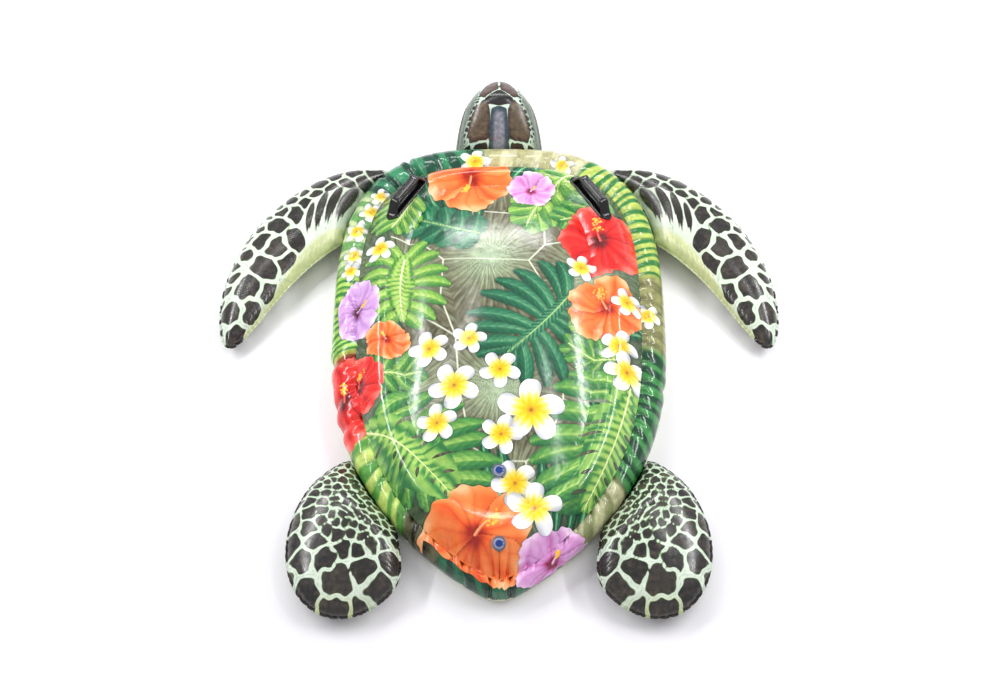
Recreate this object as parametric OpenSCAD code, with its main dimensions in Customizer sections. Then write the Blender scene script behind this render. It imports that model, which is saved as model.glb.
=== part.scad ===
// Inflatable sea turtle ride-on float, in millimetres.
// +X is to the rider's right, +Y to the turtle's head and +Z up.
// The origin is on the floor, under the middle of the whole float's box.
// Every air chamber is built as the real one is: thin vinyl panels welded edge to edge.

/* [Hull] */
// Half of the hull's width over the rim
hull_half_w = 507; // [470:1:530]
// Length of the hull ahead of its widest line
hull_front = 661; // [640:1:680]
// Length of the hull behind its widest line
hull_back = 940; // [920:1:960]
// Where the widest line lies along Y
hull_mid_y = 42; // [30:1:55]
// Radius of the rim's air tube at the sides
rim_r = 67; // [60:1:72]
// Share of the rim's size that is left at the tail
tail_share = 0.6; // [0.55:0.01:0.75]
// Height of the ring's bulge over a straight line from weld to crease
ring_bulge = 40; // [25:1:50]
// Height of the crease between the ring and the pad
crease_z = 178; // [165:1:190]
// Rise of the pad over the crease
pad_rise = 58; // [40:1:75]

/* [Limbs and head] */
// Distance from the front weld to the nose
head_length = 243; // [225:1:255]
// Half of the head's width
head_half_w = 135; // [125:1:145]
// Half thickness of a front flipper
front_flipper_h = 66; // [50:1:67]
// Half thickness of a rear flipper
rear_flipper_h = 75; // [60:1:80]
// Width of the welded margin round a limb
lip = 6; // [4:0.5:8]

/* [Fittings] */
// Length of a grab handle over its pads
handle_length = 208; // [190:1:215]
// Width of a handle's grip
handle_w = 32; // [26:1:36]
// Height of a handle's grip over its pads
handle_h = 37; // [34:1:44]
// Outer radius of a valve's weld flange
flange_r = 22; // [21:0.5:25]
// Radius of a valve's stem
stem_r = 9; // [8:0.5:9.5]
// Height of a valve's stem over the vinyl
stem_top = 9; // [7:0.5:11]

/* [Vinyl] */
// Thickness of the vinyl sheet
skin = 0.4; // [0.3:0.05:0.8]

/* [Hidden] */

// Colours of the printed vinyl and the fittings
shell_green = [0.16, 0.42, 0.24];
shell_brown = [0.44, 0.46, 0.33];
skin_green = [0.72, 0.82, 0.68];
belly_cream = [0.85, 0.86, 0.74];
fitting_black = [0.05, 0.05, 0.06];
valve_blue = [0.13, 0.25, 0.62];

// Stations round the hull, and where the tubes and panels start and end, as insets from its outline
stations = 72;
arc_steps = 8;
side_seam = 1.164;
front_seam = 0.4;
crease_inset = 222;
tail_crease_drop = 0.12;
belly_z = 3;
wall_foot_z = 14;
pad_hub = [0, -60];
weld_gap = 2.5;
flat_share = 1.083;

function lerp(a, b, f) = a + (b - a) * f;
function signed_pow(v, e) = sign(v) * pow(abs(v), e);
function smooth(f) = let (g = min(1, max(0, f))) g * g * (3 - 2 * g);

// One corner of a cubic curve's control polygon per entry
function bezier(p, f) =
    pow(1 - f, 3) * p[0] + 3 * f * pow(1 - f, 2) * p[1] + 3 * f * f * (1 - f) * p[2] + pow(f, 3) * p[3];

// How far along the tapering tail a station lies, from 0 to 1
function tail_run(t) = sin(t) < 0 ? pow(-sin(t), 0.9) : 0;
function tube_share(t) = 1 - (1 - tail_share) * pow(tail_run(t), 3);
// Where the ring panel is welded to the rim's tube, which is further in at the front
function seam_inset(t) = rim_r * tube_share(t) * (side_seam + front_seam * pow(max(0, sin(t)), 3));
function seam_height(t) =
    let (r = rim_r * tube_share(t)) r + sqrt(r * r - pow(seam_inset(t) - r, 2)) + skin + 0.05;
function crease_height(t) = crease_z * (1 - tail_crease_drop * pow(tail_run(t), 3));

// The hull's plan at station t, moved in by an inset: blunt ahead, tapering to the tail
function hull_plan(t, inset) =
    let (
        w = hull_half_w - inset,
        inner = min(1, inset / crease_inset),
        u = tail_run(t),
        side = pow(1 - pow(u, 2.7 + 0.4 * inner), 0.85 - 0.3 * inner)
    )
    sin(t) >= 0
        ? [w * signed_pow(cos(t), 2 / 3), hull_mid_y + (hull_front - inset) * pow(sin(t), 2 / 3)]
        : [w * sign(cos(t)) * side, hull_mid_y - (hull_back - inset) * u];

function hull_point(t, inset, z) = let (p = hull_plan(t, inset)) [p[0], p[1], z];

// A point on the rim's tube, at angle a round it and offset in from its surface
function rim_point(t, a, offset) =
    let (
        k = tube_share(t),
        r = rim_r * k - offset,
        z = rim_r * k + r * sin(a) * (a > 180 ? flat_share : 1)
    )
    hull_point(t, rim_r * k - r * cos(a), max(offset, z));

// A point on the ring panel, from the rim weld at v = 0 to the crease at v = 1
function ring_point(t, v, drop = 0) =
    hull_point(
        t,
        lerp(seam_inset(t), crease_inset, v),
        lerp(seam_height(t), crease_height(t), v) + ring_bulge * sin(180 * v) - drop
    );

// A point on the pad, from the crease at v = 0 to its middle at v = 1
function pad_point(t, v, drop = 0) =
    let (p = lerp(hull_plan(t, crease_inset), pad_hub, v))
    [p[0], p[1], lerp(crease_height(t), crease_z, v) + pad_rise * (1 - pow(1 - v, 2.6)) - drop];

// A point on the belly: from the rim to the wall's foot for v below 1, then on to the middle at v = 2
function belly_point(t, v, lift = 0) =
    let (
        k = tube_share(t),
        outside = v <= 1,
        p = outside
            ? hull_plan(t, lerp(2 * rim_r * k + 0.3, crease_inset, v))
            : lerp(hull_plan(t, crease_inset), pad_hub, v - 1),
        z = outside
            ? lerp(wall_foot_z, rim_r * k, pow(1 - v, 5))
            : belly_z + (wall_foot_z - belly_z) * pow(2 - v, 2)
    )
    [p[0], p[1], z + lift];

// A closed thin solid between two grids of points, held as [row][point].
// A ring's rows run right round; hubs are the two points that close a disc's middle.
module sheet(outer, inner, ring = false, hubs = []) {
    rows = len(outer);
    n = len(outer[0]);
    spans = ring ? rows : rows - 1;
    inner_at = rows * n;
    hub_at = 2 * rows * n;
    function at(i, k) = (i % rows) * n + k;
    function quad(a, b, c, d) = [[a, b, c], [a, c, d]];
    face_grid = [for (i = [0 : spans - 1], k = [0 : n - 2]) each
        quad(at(i, k), at(i, k + 1), at(i + 1, k + 1), at(i + 1, k))];
    back_grid = [for (f = face_grid) [f[2] + inner_at, f[1] + inner_at, f[0] + inner_at]];
    near_edge = [for (i = [0 : spans - 1]) each
        quad(at(i, 0), at(i + 1, 0), at(i + 1, 0) + inner_at, at(i, 0) + inner_at)];
    far_edge = len(hubs) > 0 ? [] : [for (i = [0 : spans - 1]) each
        quad(at(i + 1, n - 1), at(i, n - 1), at(i, n - 1) + inner_at, at(i + 1, n - 1) + inner_at)];
    ends = ring ? [] : [for (k = [0 : n - 2]) each concat(
        quad(at(0, k + 1), at(0, k), at(0, k) + inner_at, at(0, k + 1) + inner_at),
        quad(at(rows - 1, k), at(rows - 1, k + 1), at(rows - 1, k + 1) + inner_at, at(rows - 1, k) + inner_at)
    )];
    middle = len(hubs) == 0 ? [] : [for (i = [0 : spans - 1]) each [
        [at(i, n - 1), hub_at, at(i + 1, n - 1)],
        [at(i + 1, n - 1) + inner_at, hub_at + 1, at(i, n - 1) + inner_at]
    ]];
    polyhedron(
        points = concat([for (r = outer) each r], [for (r = inner) each r], hubs),
        faces = concat(face_grid, back_grid, near_edge, far_edge, ends, middle),
        convexity = 12
    );
}

angles = [for (i = [0 : stations - 1]) 360 * i / stations];

module rim_panel(from) {
    arcs = [for (j = [0 : arc_steps]) from + 180 * j / arc_steps];
    sheet(
        [for (t = angles) [for (a = arcs) rim_point(t, a, 0)]],
        [for (t = angles) [for (a = arcs) rim_point(t, a, skin)]],
        ring = true
    );
}

module rim_upper_panel() { color(shell_green) rim_panel(0); }
module rim_lower_panel() { color(belly_cream) rim_panel(180); }

module ring_top_panel() {
    steps = [for (j = [0 : 8]) j / 8];
    color(shell_green) difference() {
        sheet(
            [for (t = angles) [for (v = steps) ring_point(t, v)]],
            [for (t = angles) [for (v = steps) ring_point(t, v, skin)]],
            ring = true
        );
        on_ring_valve() valve_hole();
    }
}

module pad_top_panel() {
    steps = [0, 0.06, 0.14, 0.25, 0.4, 0.6, 0.8];
    color(shell_brown) difference() {
        sheet(
            [for (t = angles) [for (v = steps) pad_point(t, v)]],
            [for (t = angles) [for (v = steps) pad_point(t, v, skin)]],
            ring = true,
            hubs = [pad_point(0, 1), pad_point(0, 1, skin)]
        );
        on_pad_valve() valve_hole();
    }
}

module belly_panel() {
    steps = [0, 0.08, 0.2, 0.4, 1, 1.35, 1.7];
    color(belly_cream) sheet(
        [for (t = angles) [for (v = steps) belly_point(t, v, skin)]],
        [for (t = angles) [for (v = steps) belly_point(t, v)]],
        ring = true,
        hubs = [belly_point(0, 2, skin), belly_point(0, 2)]
    );
}

// The upright wall under the crease, which parts the pad's air from the ring's
module chamber_wall() {
    foot = wall_foot_z + skin + 0.3;
    color(belly_cream) sheet(
        [for (t = angles) [
            hull_point(t, crease_inset - skin / 2, foot),
            hull_point(t, crease_inset - skin / 2, crease_height(t) - skin - 0.3)
        ]],
        [for (t = angles) [
            hull_point(t, crease_inset + skin / 2, foot),
            hull_point(t, crease_inset + skin / 2, crease_height(t) - skin - 0.3)
        ]],
        ring = true
    );
}

// A limb is a run of rows from its root to its tip. Each row is
// [middle, half-width vector, way along the limb, bow of the row, seam height, upper height, lower height].
limb_steps = 16;

function limb_point(row, a, thick, upper, offset, margin) =
    let (
        half = norm(row[1]),
        reach = (half - offset) / half + margin / half,
        across = margin > 0 ? sign(cos(a)) : cos(a),
        rise = margin > 0 ? 0 : max(0, thick - offset) * sin(a),
        p = row[0] + row[1] * across * reach + row[2] * row[3] * (1 - pow(across * min(1, reach), 2))
    )
    [p[0], p[1], max(offset, row[4] + (upper ? 1 : -1) * rise)];

// The upper or the lower panel of a limb, with the welded margin along its sides
module limb_panel(rows, upper) {
    arcs = [for (j = [0 : arc_steps]) 180 * j / arc_steps];
    lift = upper ? skin : -skin;
    function chain(row, offset) =
        let (
            thick = upper ? row[5] : row[6],
            raise = offset == 0 ? lift : 0,
            middle = [for (j = [0 : arc_steps])
                let (p = limb_point(row, arcs[j], thick, upper, offset, 0))
                [p[0], p[1], (j == 0 || j == arc_steps) ? row[4] + raise : p[2]]],
            ends = [for (a = [0, 180])
                let (p = limb_point(row, a, 0, upper, 0, lip)) [p[0], p[1], row[4] + raise]]
        )
        concat([ends[0]], middle, [ends[1]]);
    outside = [for (r = rows) chain(r, 0)];
    inside = [for (r = rows) chain(r, skin)];
    if (upper) sheet(outside, inside);
    else sheet(inside, outside);
}

// How a limb swells from its root weld, and how it rounds off to its tip
function root_swell(f, run) = f >= run ? 1 : sqrt(1 - pow(1 - f / run, 2));
function tip_round(f, power) = sqrt(1 - pow(f, power));

// Both edges of a flipper seen from above, as curves from root to tip
front_outer_edge = [[346, 625], [640, 672], [896, 330], [866, -32]];
front_inner_edge = [[493, 338], [604, 262], [724, 92], [776, -50]];
rear_outer_edge = [[432, -450], [598, -540], [640, -786], [594, -946]];
rear_inner_edge = [[295, -672], [286, -778], [254, -846], [290, -946]];
front_root_bow = 33;
rear_root_bow = 12;

function flipper_row(f, outer, inner, bow, root_z, h, swell_run, end_power) =
    let (
        o = bezier(outer, f),
        i = bezier(inner, f),
        chord = bezier(outer, 0) - bezier(inner, 0),
        outward = [chord[1], -chord[0]] / norm(chord),
        spare = [outward[0], outward[1]] * weld_gap * (1 - f),
        end = max(0.08, tip_round(f, end_power)),
        taper = h * lerp(1, 0.62, pow(f, 2.4)),
        thick = max(3, taper * root_swell(f, swell_run) * pow(end, 0.8))
    )
    [
        (o + i) / 2 + spare,
        (o - i) / 2 * end,
        outward,
        bow * (1 - smooth(f / 0.45)),
        lerp(root_z, taper, smooth(f / 0.3)),
        thick,
        thick
    ];

front_flipper_rows = [for (i = [0 : limb_steps])
    flipper_row(i / limb_steps, front_outer_edge, front_inner_edge, front_root_bow,
        rim_r, front_flipper_h, 0.2, 9)];
rear_flipper_rows = [for (i = [0 : limb_steps])
    flipper_row(i / limb_steps, rear_outer_edge, rear_inner_edge, rear_root_bow,
        57, rear_flipper_h, 0.34, 4.5)];

module front_flipper(upper) { color(skin_green) limb_panel(front_flipper_rows, upper); }
module rear_flipper(upper) { color(skin_green) limb_panel(rear_flipper_rows, upper); }

function head_row(f) =
    let (end = max(0.1, tip_round(f, 1.6)), swell = root_swell(f, 0.5))
    [
        [0, hull_mid_y + hull_front + weld_gap + head_length * f - weld_gap * f],
        [-head_half_w * end, 0],
        [0, 1],
        0,
        lerp(rim_r, 130, smooth(f / 0.6)),
        max(3, 100 * swell * pow(end, 0.9)),
        max(3, 82 * swell * pow(end, 0.9))
    ];
head_rows = [for (i = [0 : limb_steps]) head_row(i / limb_steps)];

module head_crown_panel() { color(skin_green) limb_panel(head_rows, true); }
module head_throat_panel() { color(belly_cream) limb_panel(head_rows, false); }

// Stands children on a surface point, with local x along the hull's edge and local z along the surface's normal
module stand_on(p, along, across) {
    x = along / norm(along);
    z = cross(x, across) / norm(cross(x, across));
    y = cross(z, x);
    multmatrix([
        [x[0], y[0], z[0], p[0]],
        [x[1], y[1], z[1], p[1]],
        [x[2], y[2], z[2], p[2]],
        [0, 0, 0, 1]
    ])
        children();
}

handle_station = 41;
handle_v = 0.55;

module on_handle() {
    stand_on(
        ring_point(handle_station, handle_v),
        ring_point(handle_station + 8, handle_v) - ring_point(handle_station - 8, handle_v),
        ring_point(handle_station, handle_v + 0.06) - ring_point(handle_station, handle_v - 0.06)
    )
        children();
}

foot_t = 3.4;
grip_t = 11;
handle_foot_w = 46;

// A thick ring with the ring panel's shape on top, to cut the handles' undersides with
module ring_block() {
    steps = [for (j = [0 : 8]) j / 8];
    sheet(
        [for (t = angles) [for (v = steps) ring_point(t, v, -0.3)]],
        [for (t = angles) [for (v = steps) ring_point(t, v, 30)]],
        ring = true
    );
}

// A long foot with clipped corners, cut to the ring's curve, and an arched grip standing on it
module handle() {
    half = handle_length / 2;
    leg = half - 17;
    knee = half - 50;
    top = foot_t + handle_h;
    color(fitting_black) difference() {
        on_handle() {
            translate([0, 0, -22]) linear_extrude(height = 22 + foot_t)
                polygon([
                    for (c = [[-1, -1], [1, -1], [1, 1], [-1, 1]]) each
                        let (
                            end = [half * c[0], handle_foot_w * 0.28 * c[1]],
                            side = [(half - 13) * c[0], handle_foot_w / 2 * c[1]]
                        )
                        c[0] * c[1] > 0 ? [end, side] : [side, end]
                ]);
            rotate([90, 0, 0]) linear_extrude(height = handle_w, center = true)
                polygon([
                    [-leg, foot_t - 1], [-leg + 18, foot_t - 1], [-knee + 5, top - grip_t],
                    [knee - 5, top - grip_t], [leg - 18, foot_t - 1], [leg, foot_t - 1],
                    [leg, foot_t + 3], [knee + 4, top - 3], [knee, top],
                    [-knee, top], [-knee - 4, top - 3], [-leg, foot_t + 3]
                ]);
        }
        ring_block();
    }
}

// Valves: local z is the valve's axis, and local 0 the vinyl's outer face
pad_valve_v = 0.19;
ring_valve_v = 0.45;
tail_station = 270;

module on_pad_valve() {
    stand_on(
        pad_point(tail_station, pad_valve_v),
        [1, 0, 0],
        pad_point(tail_station, pad_valve_v + 0.04) - pad_point(tail_station, pad_valve_v - 0.04)
    )
        children();
}

module on_ring_valve() {
    stand_on(
        ring_point(tail_station, ring_valve_v),
        [1, 0, 0],
        ring_point(tail_station, ring_valve_v + 0.1) - ring_point(tail_station, ring_valve_v - 0.1)
    )
        children();
}

membrane_r = 15.6;
flange_bore = 16;
bore_r = 6;
stem_foot = -16;
hinge_x = 13;
$fn = 48;

module valve_hole() { translate([0, 0, -10]) cylinder(r = flange_bore + 0.5, h = 20); }

// The welded ring that joins the valve to the panel
module valve_flange() {
    translate([0, 0, 0.8]) difference() {
        cylinder(r = flange_r, h = 1.2);
        translate([0, 0, -1]) cylinder(r = flange_bore, h = 4);
    }
}

// The hollow stem on its soft membrane, with the tether that ends in the plug's hinge bead
module valve_stem() {
    difference() {
        union() {
            translate([0, 0, stem_foot]) cylinder(r = stem_r, h = stem_top - stem_foot);
            translate([0, 0, stem_top - 3]) cylinder(r = stem_r + 1.1, h = 3);
            translate([0, 0, 0.8]) cylinder(r = membrane_r, h = 0.8);
            translate([stem_r - 1, -3, stem_top - 1.6]) cube([hinge_x - stem_r + 1.5, 6, 1.2]);
            translate([hinge_x - 0.5, -3, stem_top - 1.6]) cube([1, 6, 1.8]);
            translate([hinge_x, -3, stem_top + 0.4]) rotate([-90, 0, 0]) cylinder(r = 0.7, h = 6);
        }
        translate([0, 0, stem_foot - 1]) cylinder(r = bore_r, h = stem_top - stem_foot + 2);
    }
}

// The plug: a cap with a tapered stopper, and two ears either side of the tether's bead
module valve_plug() {
    gap = 0.35;
    translate([0, 0, stem_top + gap]) cylinder(r = stem_r + 1.1, h = 1.8);
    translate([0, 0, stem_top + gap - 8]) cylinder(r1 = 4, r2 = 5.65, h = 8);
    for (side = [-1, 1])
        translate([stem_r - 1, side * 4.6 - 1.1, stem_top + gap]) cube([hinge_x - stem_r + 2, 2.2, 1.2]);
}

// The check flap under the stem, which swings down to let air in
module valve_flap() {
    translate([0, 0, stem_foot - 0.9]) cylinder(r = stem_r - 1.2, h = 0.6);
    translate([-stem_r - 0.4, -2.5, stem_foot - 0.9]) cube([2.5, 5, 0.6]);
}

rim_upper_panel();
rim_lower_panel();
ring_top_panel();
pad_top_panel();
belly_panel();
chamber_wall();
head_crown_panel();
head_throat_panel();
front_flipper(true);  // front_flipper_right_top_panel
front_flipper(false);  // front_flipper_right_bottom_panel
mirror([1, 0, 0]) front_flipper(true);  // front_flipper_left_top_panel
mirror([1, 0, 0]) front_flipper(false);  // front_flipper_left_bottom_panel
rear_flipper(true);  // rear_flipper_right_top_panel
rear_flipper(false);  // rear_flipper_right_bottom_panel
mirror([1, 0, 0]) rear_flipper(true);  // rear_flipper_left_top_panel
mirror([1, 0, 0]) rear_flipper(false);  // rear_flipper_left_bottom_panel
handle();  // handle_right
mirror([1, 0, 0]) handle();  // handle_left
color(valve_blue) on_pad_valve() valve_flange();  // pad_valve_flange
color(valve_blue) on_pad_valve() valve_stem();  // pad_valve_stem
color(valve_blue) on_pad_valve() valve_plug();  // pad_valve_plug
color(valve_blue) on_pad_valve() valve_flap();  // pad_valve_flap
color(valve_blue) on_ring_valve() valve_flange();  // ring_valve_flange
color(valve_blue) on_ring_valve() valve_stem();  // ring_valve_stem
color(valve_blue) on_ring_valve() valve_plug();  // ring_valve_plug
color(valve_blue) on_ring_valve() valve_flap();  // ring_valve_flap
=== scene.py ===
# A ride-on pool float in the shape of a sea turtle: air chambers of welded, printed vinyl
import math

import bpy
import numpy as np
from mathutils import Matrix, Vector
from mathutils.bvhtree import BVHTree


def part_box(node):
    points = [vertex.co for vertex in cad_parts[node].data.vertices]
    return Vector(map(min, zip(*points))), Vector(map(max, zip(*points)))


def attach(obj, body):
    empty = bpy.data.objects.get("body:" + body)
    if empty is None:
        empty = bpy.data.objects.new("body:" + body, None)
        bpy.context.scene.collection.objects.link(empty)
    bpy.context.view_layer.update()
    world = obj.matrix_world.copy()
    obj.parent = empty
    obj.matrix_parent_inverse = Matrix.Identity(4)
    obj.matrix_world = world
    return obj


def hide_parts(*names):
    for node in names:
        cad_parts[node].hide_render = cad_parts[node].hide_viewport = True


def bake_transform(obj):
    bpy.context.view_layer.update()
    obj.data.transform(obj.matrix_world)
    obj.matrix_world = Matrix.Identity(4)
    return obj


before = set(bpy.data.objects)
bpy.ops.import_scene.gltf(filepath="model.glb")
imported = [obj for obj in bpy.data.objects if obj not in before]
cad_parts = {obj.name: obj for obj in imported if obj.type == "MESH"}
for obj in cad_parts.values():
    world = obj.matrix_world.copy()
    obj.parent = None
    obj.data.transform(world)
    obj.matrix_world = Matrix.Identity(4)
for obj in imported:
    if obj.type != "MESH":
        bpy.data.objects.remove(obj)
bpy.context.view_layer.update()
MM = 0.001

# ---- hull, from the frame's own boxes
rim_low, rim_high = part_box("rim_upper_panel")
HULL_MID_Y = 42 * MM
HULL_HALF_W = rim_high.x
HULL_FRONT = rim_high.y - HULL_MID_Y
HULL_BACK = HULL_MID_Y - rim_low.y
RIM_R = rim_high.z / 2
TAIL_SHARE = 0.6
CREASE_INSET = 222 * MM
CREASE_Z = 178 * MM
TAIL_CREASE_DROP = 0.12
RING_BULGE = 40 * MM
PAD_HUB = np.array([0.0, -60 * MM])
PAD_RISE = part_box("pad_top_panel")[1].z - CREASE_Z
FLAT_SHARE = 1.083
WALL_FOOT_Z = 14 * MM
BELLY_Z = 3 * MM
LIP = 6 * MM
VALVE_OPENING = 18 * MM
BELLY_CREAM = "#d8d9bd"
OUTSIDE = -0.02  # metres, well outside any printed edge
CELL_OUTLINE = (0.0009, -0.0011)  # softness and start of the line round a printed cell, in metres


def lerp(a, b, f):
    return a + (b - a) * f


def smooth(f):
    f = np.clip(f, 0, 1)
    return f * f * (3 - 2 * f)


def tail_run(t):
    return np.maximum(-np.sin(np.radians(t)), 0) ** 0.9


def tube_share(t):
    return 1 - (1 - TAIL_SHARE) * tail_run(t) ** 3


def seam_inset(t):
    front = np.maximum(np.sin(np.radians(t)), 0)
    return RIM_R * tube_share(t) * (1.164 + 0.4 * front ** 3)


def seam_height(t):
    r = RIM_R * tube_share(t)
    return r + np.sqrt(r * r - (seam_inset(t) - r) ** 2)


def crease_height(t):
    return CREASE_Z * (1 - TAIL_CREASE_DROP * tail_run(t) ** 3)


def hull_plan(t, inset):
    """The hull seen from above at station t (degrees round from +X), moved in by an inset."""
    t, inset = np.broadcast_arrays(np.asarray(t, float), np.asarray(inset, float))
    c, s = np.cos(np.radians(t)), np.sin(np.radians(t))
    w = HULL_HALF_W - inset
    inner = np.clip(inset / CREASE_INSET, -0.3, 1)
    u = np.maximum(-s, 0) ** 0.9
    side = np.maximum(1 - u ** (2.7 + 0.4 * inner), 0) ** (0.85 - 0.3 * inner)
    ahead = s >= 0
    x = w * np.where(ahead, np.sign(c) * np.abs(c) ** (2 / 3), np.sign(c) * side)
    y = np.where(ahead, HULL_MID_Y + (HULL_FRONT - inset) * np.maximum(s, 0) ** (2 / 3),
                 HULL_MID_Y - (HULL_BACK - inset) * u)
    return np.stack([x, y], -1)


def ring_height(t, v):
    """Height of the shell's ring from the rim weld (v = 0) to the crease (v = 1), without its puckers."""
    return lerp(seam_height(t), crease_height(t), v) + RING_BULGE * np.sin(np.pi * v)


def ring_point(t, v):
    return np.append(hull_plan(t, lerp(seam_inset(t), CREASE_INSET, v)), ring_height(t, v))


def from_station(t, station):
    """How many degrees round from a station, -180 to 180."""
    return (t - station + 180) % 360 - 180


def stations(count, inset):
    """Stations an even step apart round the hull, and how far round each lies, in metres."""
    fine = np.linspace(0, 360, 14401)
    plan = hull_plan(fine, inset)
    run = np.concatenate([[0], np.cumsum(np.linalg.norm(np.diff(plan, axis=0), axis=1))])
    at = np.linspace(0, run[-1], count, endpoint=False)
    return np.interp(at, run, fine), at, run[-1]


# ---- meshes
def normals_of(points, round_rows=True, round_columns=False):
    """Outward normals of a grid of points, held as [row][column]."""
    def slope(axis, wraps):
        if wraps:
            return np.roll(points, -1, axis) - np.roll(points, 1, axis)
        return np.gradient(points, axis=axis)
    n = np.cross(slope(0, round_rows), slope(1, round_columns))
    return n / np.maximum(np.linalg.norm(n, axis=-1, keepdims=True), 1e-12)


def grid_faces(rows, columns, round_rows, round_columns):
    i = np.arange(rows if round_rows else rows - 1)[:, None]
    j = np.arange(columns if round_columns else columns - 1)[None, :]
    i2, j2 = (i + 1) % rows, (j + 1) % columns
    quad = [i * columns + j, i2 * columns + j, i2 * columns + j2, i * columns + j2]
    return np.stack([np.broadcast_to(q, (i.shape[0], j.shape[1])) for q in quad], -1).reshape(-1, 4)


def open_for_valve(points, faces, flange):
    """Cut a panel's round opening under a valve's weld flange."""
    low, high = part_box(flange)
    middle = (np.array(low[:2]) + np.array(high[:2])) / 2
    flat = points.reshape(-1, 3)
    away = flat[:, :2] - middle
    far = np.hypot(*away.T)
    close = np.abs(far - VALVE_OPENING) < 2.4 * MM
    flat[close, :2] = middle + away[close] / far[close, None] * VALVE_OPENING
    inside = (far < VALVE_OPENING) & ~close
    return faces[~inside[faces].any(1)]


def new_piece(name, points, faces, material, prints=None):
    mesh = bpy.data.meshes.new(name)
    mesh.from_pydata(np.asarray(points).reshape(-1, 3).tolist(), [], [list(map(int, f)) for f in faces])
    mesh.update()
    mesh.shade_smooth()
    for key, values in (prints or {}).items():
        values = np.asarray(values, np.float32)
        if values.ndim == 2:
            layer = mesh.attributes.new(key, "FLOAT_COLOR", "POINT")
            rgba = np.ones((len(values), 4), np.float32)
            rgba[:, :3] = values
            layer.data.foreach_set("color", rgba.ravel())
        else:
            layer = mesh.attributes.new(key, "FLOAT", "POINT")
            layer.data.foreach_set("value", values)
    mesh.materials.append(material)
    piece = bpy.data.objects.new(name, mesh)
    bpy.context.scene.collection.objects.link(piece)
    return piece


# ---- colour
def linear(code):
    """An sRGB hex colour as linear RGB."""
    c = np.array([int(code[i:i + 2], 16) for i in (1, 3, 5)]) / 255
    return np.where(c <= 0.04045, c / 12.92, ((c + 0.055) / 1.055) ** 2.4)


def rgba(code):
    return (*linear(code), 1.0)


def ramp(value, *codes):
    """Colours spaced evenly from 0 to 1, blended at value."""
    stops = np.array([linear(c) for c in codes])
    at = np.linspace(0, 1, len(codes))
    return np.stack([np.interp(value, at, stops[:, k]) for k in range(3)], -1)


# ---- print
class Print:
    """One printed layer on a panel: how far each point lies inside its edge, and the ink there."""

    def __init__(self, xy):
        self.xy = xy
        self.edge = np.full(len(xy), OUTSIDE)
        self.ink = np.full((len(xy), 3), 0.1)

    def near(self, middle, reach):
        return np.flatnonzero(((self.xy - middle) ** 2).sum(1) < reach * reach)

    def lay(self, at, edge, ink, shadow=0.0):
        if shadow:
            dark = 1 - shadow * np.exp(np.minimum(edge, 0) / 0.004)
            self.ink[at] *= np.where(edge < 0, dark, 1)[:, None]
        over = (edge > 0) | (edge > self.edge[at])
        self.ink[at[over]] = ink[over]
        self.edge[at] = np.maximum(self.edge[at], edge)


def turned(v, degrees):
    c, s = math.cos(math.radians(degrees)), math.sin(math.radians(degrees))
    return np.array([c * v[0] - s * v[1], s * v[0] + c * v[1]])


def curve(points, count):
    """A smooth curve from the first to the last of three points, bent towards the middle one."""
    f = np.linspace(0, 1, count)[:, None]
    a, b, c = (np.asarray(p, float) for p in points)
    return (1 - f) ** 2 * a + 2 * f * (1 - f) * b + f * f * c


def stroke(p, line, radius):
    """Distance inside a tapered stroke, how far along each point lies, and how far to its left (-1 to 1)."""
    best = np.full(len(p), -1.0)
    along = np.zeros(len(p))
    side = np.zeros(len(p))
    spans = len(line) - 1
    for k in range(spans):
        a, b = line[k], line[k + 1]
        ab = b - a
        length = max(np.hypot(*ab), 1e-9)
        u = np.clip((p - a) @ ab / length ** 2, 0, 1)
        r = lerp(radius[k], radius[k + 1], u)
        gap = p - a - u[:, None] * ab
        edge = r - np.hypot(gap[:, 0], gap[:, 1])
        take = edge > best
        best[take] = edge[take]
        along[take] = (k + u[take]) / spans
        across = (ab[0] * gap[:, 1] - ab[1] * gap[:, 0]) / length
        side[take] = (across / np.maximum(r, 1e-6))[take]
    return best, along, np.clip(side, -1, 1)


# half-widths from root to tip, as shares of the distance between lobes or of the blade's half-width
LOBE_OUTLINE = np.array([0.42, 0.52, 0.62, 0.7, 0.72, 0.62, 0.34])
SLIT_OUTLINE = np.array([0.04, 0.1, 0.12, 0.1, 0.04])
STRAP_OUTLINE = np.array([0.45, 0.75, 0.95, 1, 0.98, 0.9, 0.72, 0.45, 0.06])


def midrib(base, tip, bow, count):
    """A line from a leaf's base to its tip, bowed to its left by a share of its length."""
    off = np.array([base[1] - tip[1], tip[0] - base[0]])
    return curve([base, (base + tip) / 2 + off * bow, tip], count)


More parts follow.
